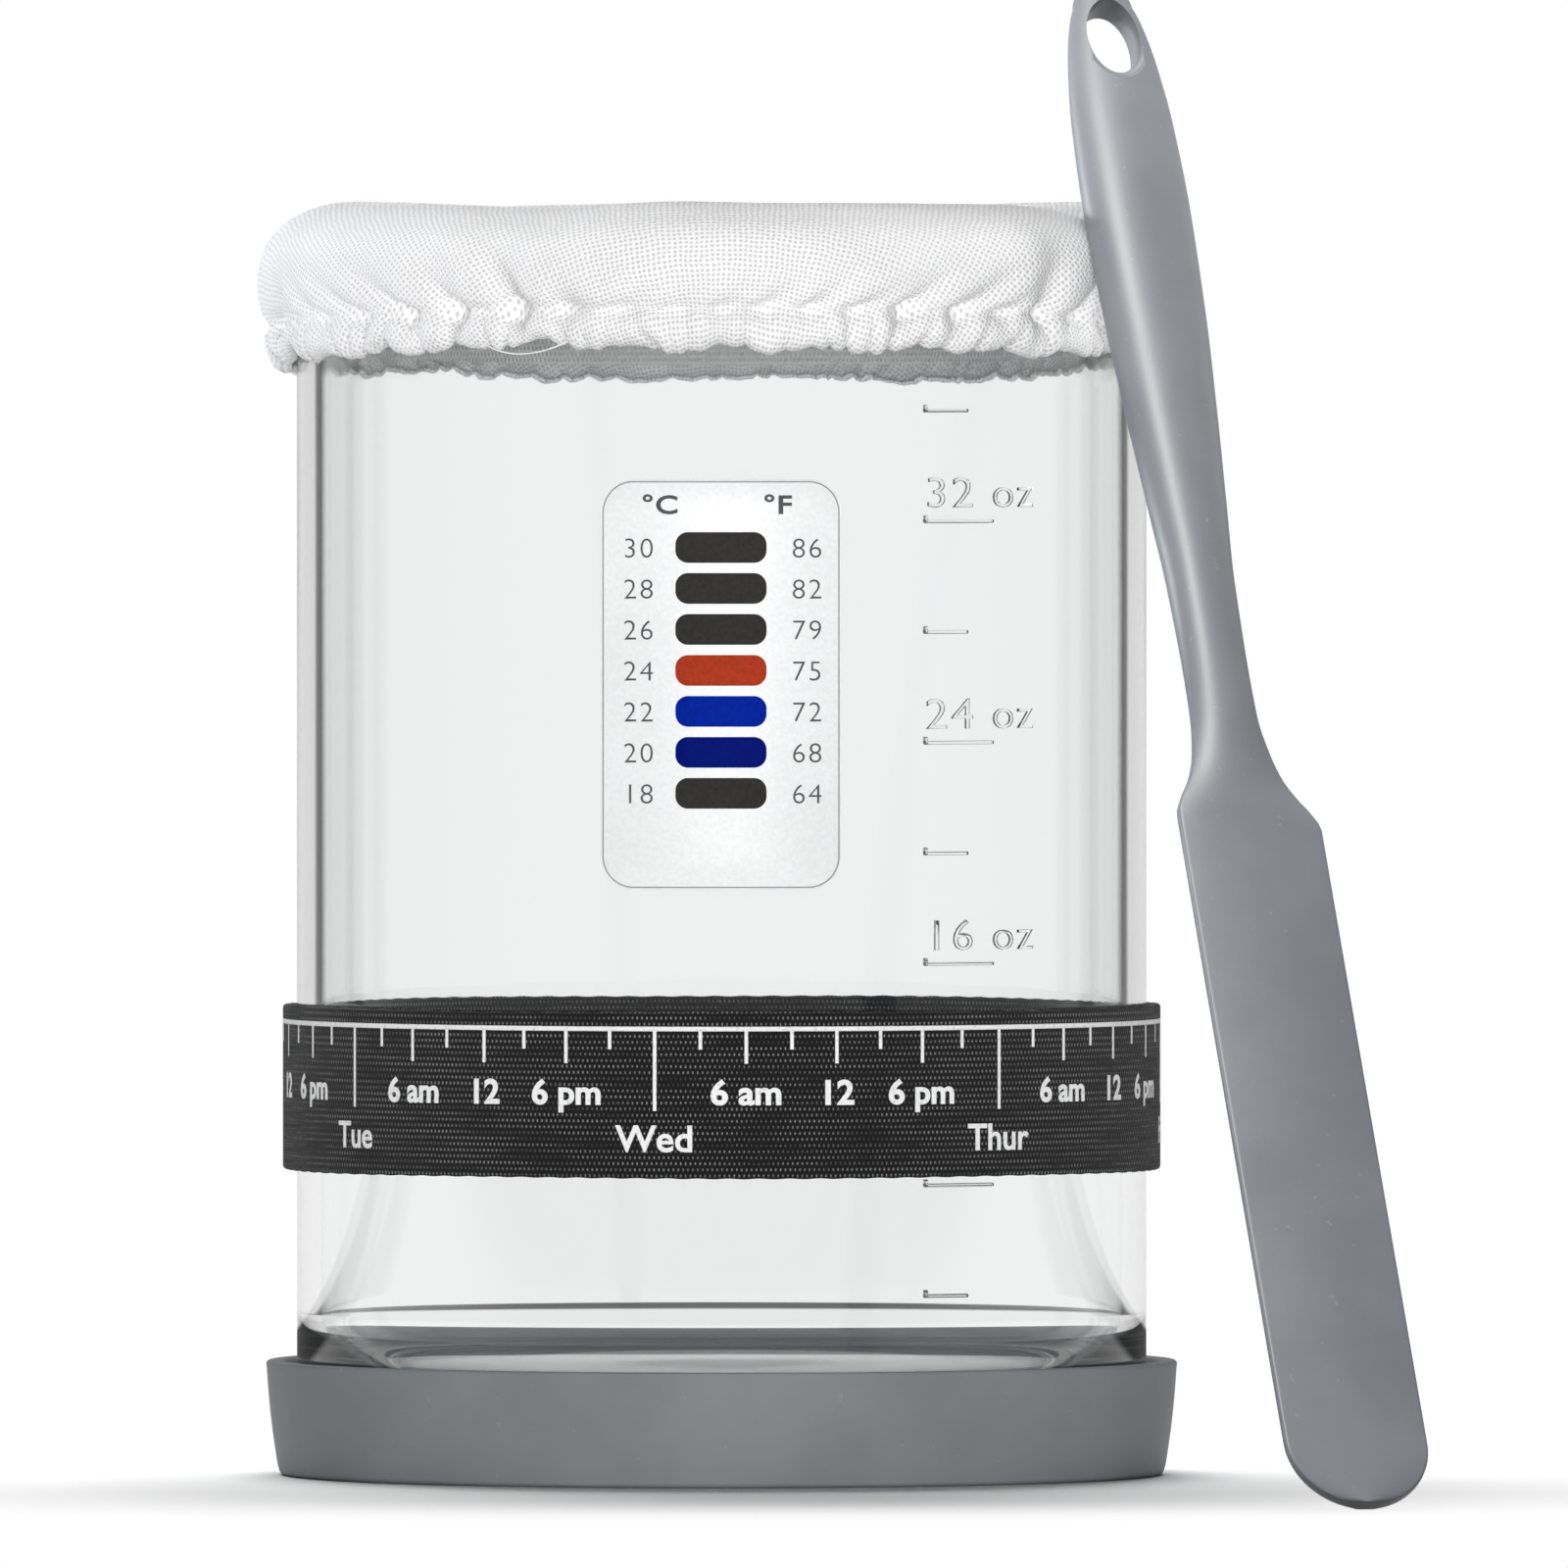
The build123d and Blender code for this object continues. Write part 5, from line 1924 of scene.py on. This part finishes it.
@dataclass
class Studio:
    """Plain white surroundings, soft lamps and the camera."""

    front: Lamp = Lamp("front", (0.03, -1.1, 0.13), (0.0, 0.0, 0.3), (0.5, 0.3), 1.75,
                       beam=62.0, mirrored=False)
    crown: Lamp = Lamp("crown", (0.0, 0.1, 1.1), COVER_MIDDLE, (0.5, 0.4), 3.8)
    left: Lamp = Lamp("left", (-0.6, 0.2, 0.24), COVER_MIDDLE, (0.12, 0.1), 0.06, 22.0, (0.93, 0.95, 1.0))
    right: Lamp = Lamp("right", (0.6, 0.2, 0.24), COVER_MIDDLE, (0.12, 0.1), 0.06, beam=22.0)
    rear: Lamp = Lamp("rear", (-0.35, 1.2, 0.6), COVER_MIDDLE, (0.8, 0.6), 5.5, mirrored=False)
    back: Lamp = Lamp("back", (-0.1, 0.8, 1.0), (0.0, 0.0, 0.0), (1.1, 0.9), 24.0)
    upper_left: Lamp = Lamp("gleam", (-0.3, -0.5, 1.02), (0.1, -0.09, 0.12), (0.2, 0.3), 12.8)
    camera_distance: float = 5.03
    camera_pitch: float = 0.82
    aim: Place = (8.0 * MM, 0.0, 88.6 * MM)
    lens: float = 900.0
    fill: float = 0.14
    shine: float = 0.22
    edge_shine: float = 0.75
    dim: float = 0.2
    room: float = 0.45
    flag_low: float = 29.0
    flag_high: float = 37.0
    flag_depth: float = 0.75
    floor_through: float = 0.92
    floor_far: float = 0.12
    floor_colour: Colour = (0.93, 0.93, 0.935)
    bounce: float = 0.4

    def build(self) -> None:
        """Make the surroundings, lamps, floor and camera."""
        self.surroundings()
        floor = self.floor()
        for lamp in (self.front, self.crown, self.left, self.right, self.rear):
            self.link(lamp.build(), floor, Reach.ALL_BUT)
        self.link(self.back.build(), floor, Reach.ONLY)
        self.camera()
        bpy.context.scene.view_settings.view_transform = "Standard"
        log.info("studio: world, lamps, floor and camera")

    def surroundings(self) -> None:
        """Make a world that shows white behind the object and holds dark flags that glass edges pick up."""
        world = bpy.data.worlds.new("studio")
        bpy.context.scene.world = world
        world.use_nodes = True
        world.node_tree.nodes.clear()
        sheet = NodeSheet(world.node_tree)
        right, depth, height = sheet.parts(sheet.add("ShaderNodeTexCoord").outputs["Generated"])
        turn = sheet.maths("ARCTAN2", right, depth)
        wave = sheet.maths("ARCCOSINE", sheet.maths("COSINE", sheet.maths("MULTIPLY", turn, 4.0)))
        off = sheet.maths("MULTIPLY", wave, math.degrees(1.0) / 4.0)
        into = sheet.steps(off, self.flag_low - 2.0, self.flag_low + 2.0)
        out_of = sheet.steps(off, self.flag_high - 2.0, self.flag_high + 2.0)
        flag = sheet.maths("SUBTRACT", into, out_of)
        wide = sheet.steps(off, 3.0, 16.0, 0.0, self.dim)
        dark = sheet.maths("MULTIPLY", flag, self.flag_depth)
        clear = sheet.maths("SUBTRACT", sheet.maths("SUBTRACT", 1.0, wide), dark)
        high = sheet.steps(sheet.maths("ABSOLUTE", height), 0.2, 0.5, 1.0, 0.35)
        behind = sheet.steps(depth, 0.0, 0.5)
        through = self.mixed(sheet, behind, self.room, sheet.maths("MULTIPLY", clear, high))
        straight = sheet.steps(depth, 0.75, 0.95)
        mirrored = self.mixed(sheet, straight, self.shine, sheet.maths("MULTIPLY", high, self.edge_shine))
        path = sheet.add("ShaderNodeLightPath")
        level = self.fill
        rays = {"Is Glossy Ray": mirrored, "Is Transmission Ray": through, "Is Camera Ray": 1.0}
        for ray, value in rays.items():
            level = self.mixed(sheet, path.outputs[ray], level, value)
        shader = sheet.add("ShaderNodeBackground", {"Color": (1.0, 1.0, 1.0, 1.0), "Strength": level})
        out = sheet.add("ShaderNodeOutputWorld")
        sheet.put(out.inputs["Surface"], shader.outputs[0])

    @staticmethod
    def mixed(sheet: NodeSheet, share: object, first: object, second: object) -> Socket:
        """Mix two plain numbers.

        Args:
            sheet: where the nodes go.
            share: how much there is of the second.
            first: a number or its socket.
            second: a number or its socket.

        Returns:
            The mixed number.
        """
        gain = sheet.maths("MULTIPLY", sheet.maths("SUBTRACT", second, first), share)
        return sheet.maths("ADD", first, gain)

    @staticmethod
    def link(lamp: Item, piece: Item, reach: Reach) -> None:
        """Add one piece to those that a lamp lights alone, or to those that it leaves out.

        Args:
            lamp: the lamp.
            piece: the piece.
            reach: whether the lamp lights the piece alone or all but the piece.
        """
        group = lamp.light_linking.receiver_collection or bpy.data.collections.new(f"{lamp.name}_receivers")
        group.objects.link(piece)
        group.collection_objects[len(group.objects) - 1].light_linking.link_state = reach.value
        lamp.light_linking.receiver_collection = group

    def gleam(self, piece: Item) -> None:
        """Light the spatula from the upper left, not from the front, so that its right side falls off."""
        self.link(self.upper_left.build(), piece, Reach.ONLY)
        self.link(bpy.data.objects[self.front.name], piece, Reach.ALL_BUT)

    def floor(self) -> Item:
        """Make the pale floor, which fades to the white behind it, and return it."""
        material, sheet, out = new_material("floor")
        place = sheet.place()
        reach = sheet.add("ShaderNodeVectorMath", {0: place}, operation="LENGTH").outputs["Value"]
        path = sheet.add("ShaderNodeLightPath")
        seen = sheet.maths("SUBTRACT", 1.0, path.outputs["Is Diffuse Ray"])
        share = sheet.maths("MULTIPLY", sheet.steps(reach, 0.07, 0.195), seen)
        depth = sheet.parts(place)[1]
        near, far = sheet.steps(depth, 0.40, 0.46), sheet.steps(depth, 0.64, 0.68)
        rise = sheet.parts(sheet.add("ShaderNodeNewGeometry").outputs["Incoming"])[2]
        flat_view = sheet.steps(rise, 0.045, 0.07, 1.0, 0.0)
        far_edge = sheet.maths("MULTIPLY", sheet.maths("SUBTRACT", near, far), flat_view)
        level = self.mixed(sheet, far_edge, self.floor_through, self.floor_far)
        level = self.mixed(sheet, sheet.steps(depth, -0.6, -0.2, 1.0, 0.0), level, self.room)
        level = self.mixed(sheet, path.outputs["Is Camera Ray"], level, 1.0)
        fine = sheet.noise(place, 40.0, 2.0)
        colour = sheet.blend(sheet.steps(fine, 0.3, 0.7), self.floor_colour, shade(self.floor_colour, 0.995))
        colour = sheet.blend(path.outputs["Is Diffuse Ray"], colour, (self.bounce,) * 3)
        plain = sheet.add("ShaderNodeBsdfDiffuse", {"Color": colour})
        white = sheet.add("ShaderNodeEmission", {"Color": (1.0, 1.0, 1.0, 1.0), "Strength": level})
        mixed = sheet.add("ShaderNodeMixShader", {0: share, 1: plain.outputs[0], 2: white.outputs[0]})
        sheet.put(out.inputs["Surface"], mixed.outputs[0])
        profile = [(reach, 0.0) for reach in (0.0, 0.15, 0.4, 1.0, 3.0)]
        floor = turned("floor", profile, 64, material)
        floor.data.flip_normals()
        return floor

    def camera(self) -> None:
        """Set the camera at the photograph's angle."""
        data = bpy.data.cameras.new("camera")
        data.lens, data.sensor_width, data.clip_end = self.lens, 36.0, 50.0
        camera = linked("camera", data)
        pitch = math.radians(self.camera_pitch)
        back = Vector((0.0, -math.cos(pitch), math.sin(pitch)))
        camera.location = Vector(self.aim) + back * self.camera_distance
        camera.rotation_mode = "QUATERNION"
        camera.rotation_quaternion = (-back).to_track_quat("-Z", "Y")
        bpy.context.scene.camera = camera


def main() -> None:
    """Build every part of the set in order."""
    logging.basicConfig(level=logging.INFO, format="%(message)s")
    studio = Studio()
    studio.build()
    BaseCup().build()
    GlassJar().build()
    Thermometer().build()
    FeedingBand().build()
    ClothCover().build()
    studio.gleam(Spatula().build())


if __name__ == "__main__":
    main()
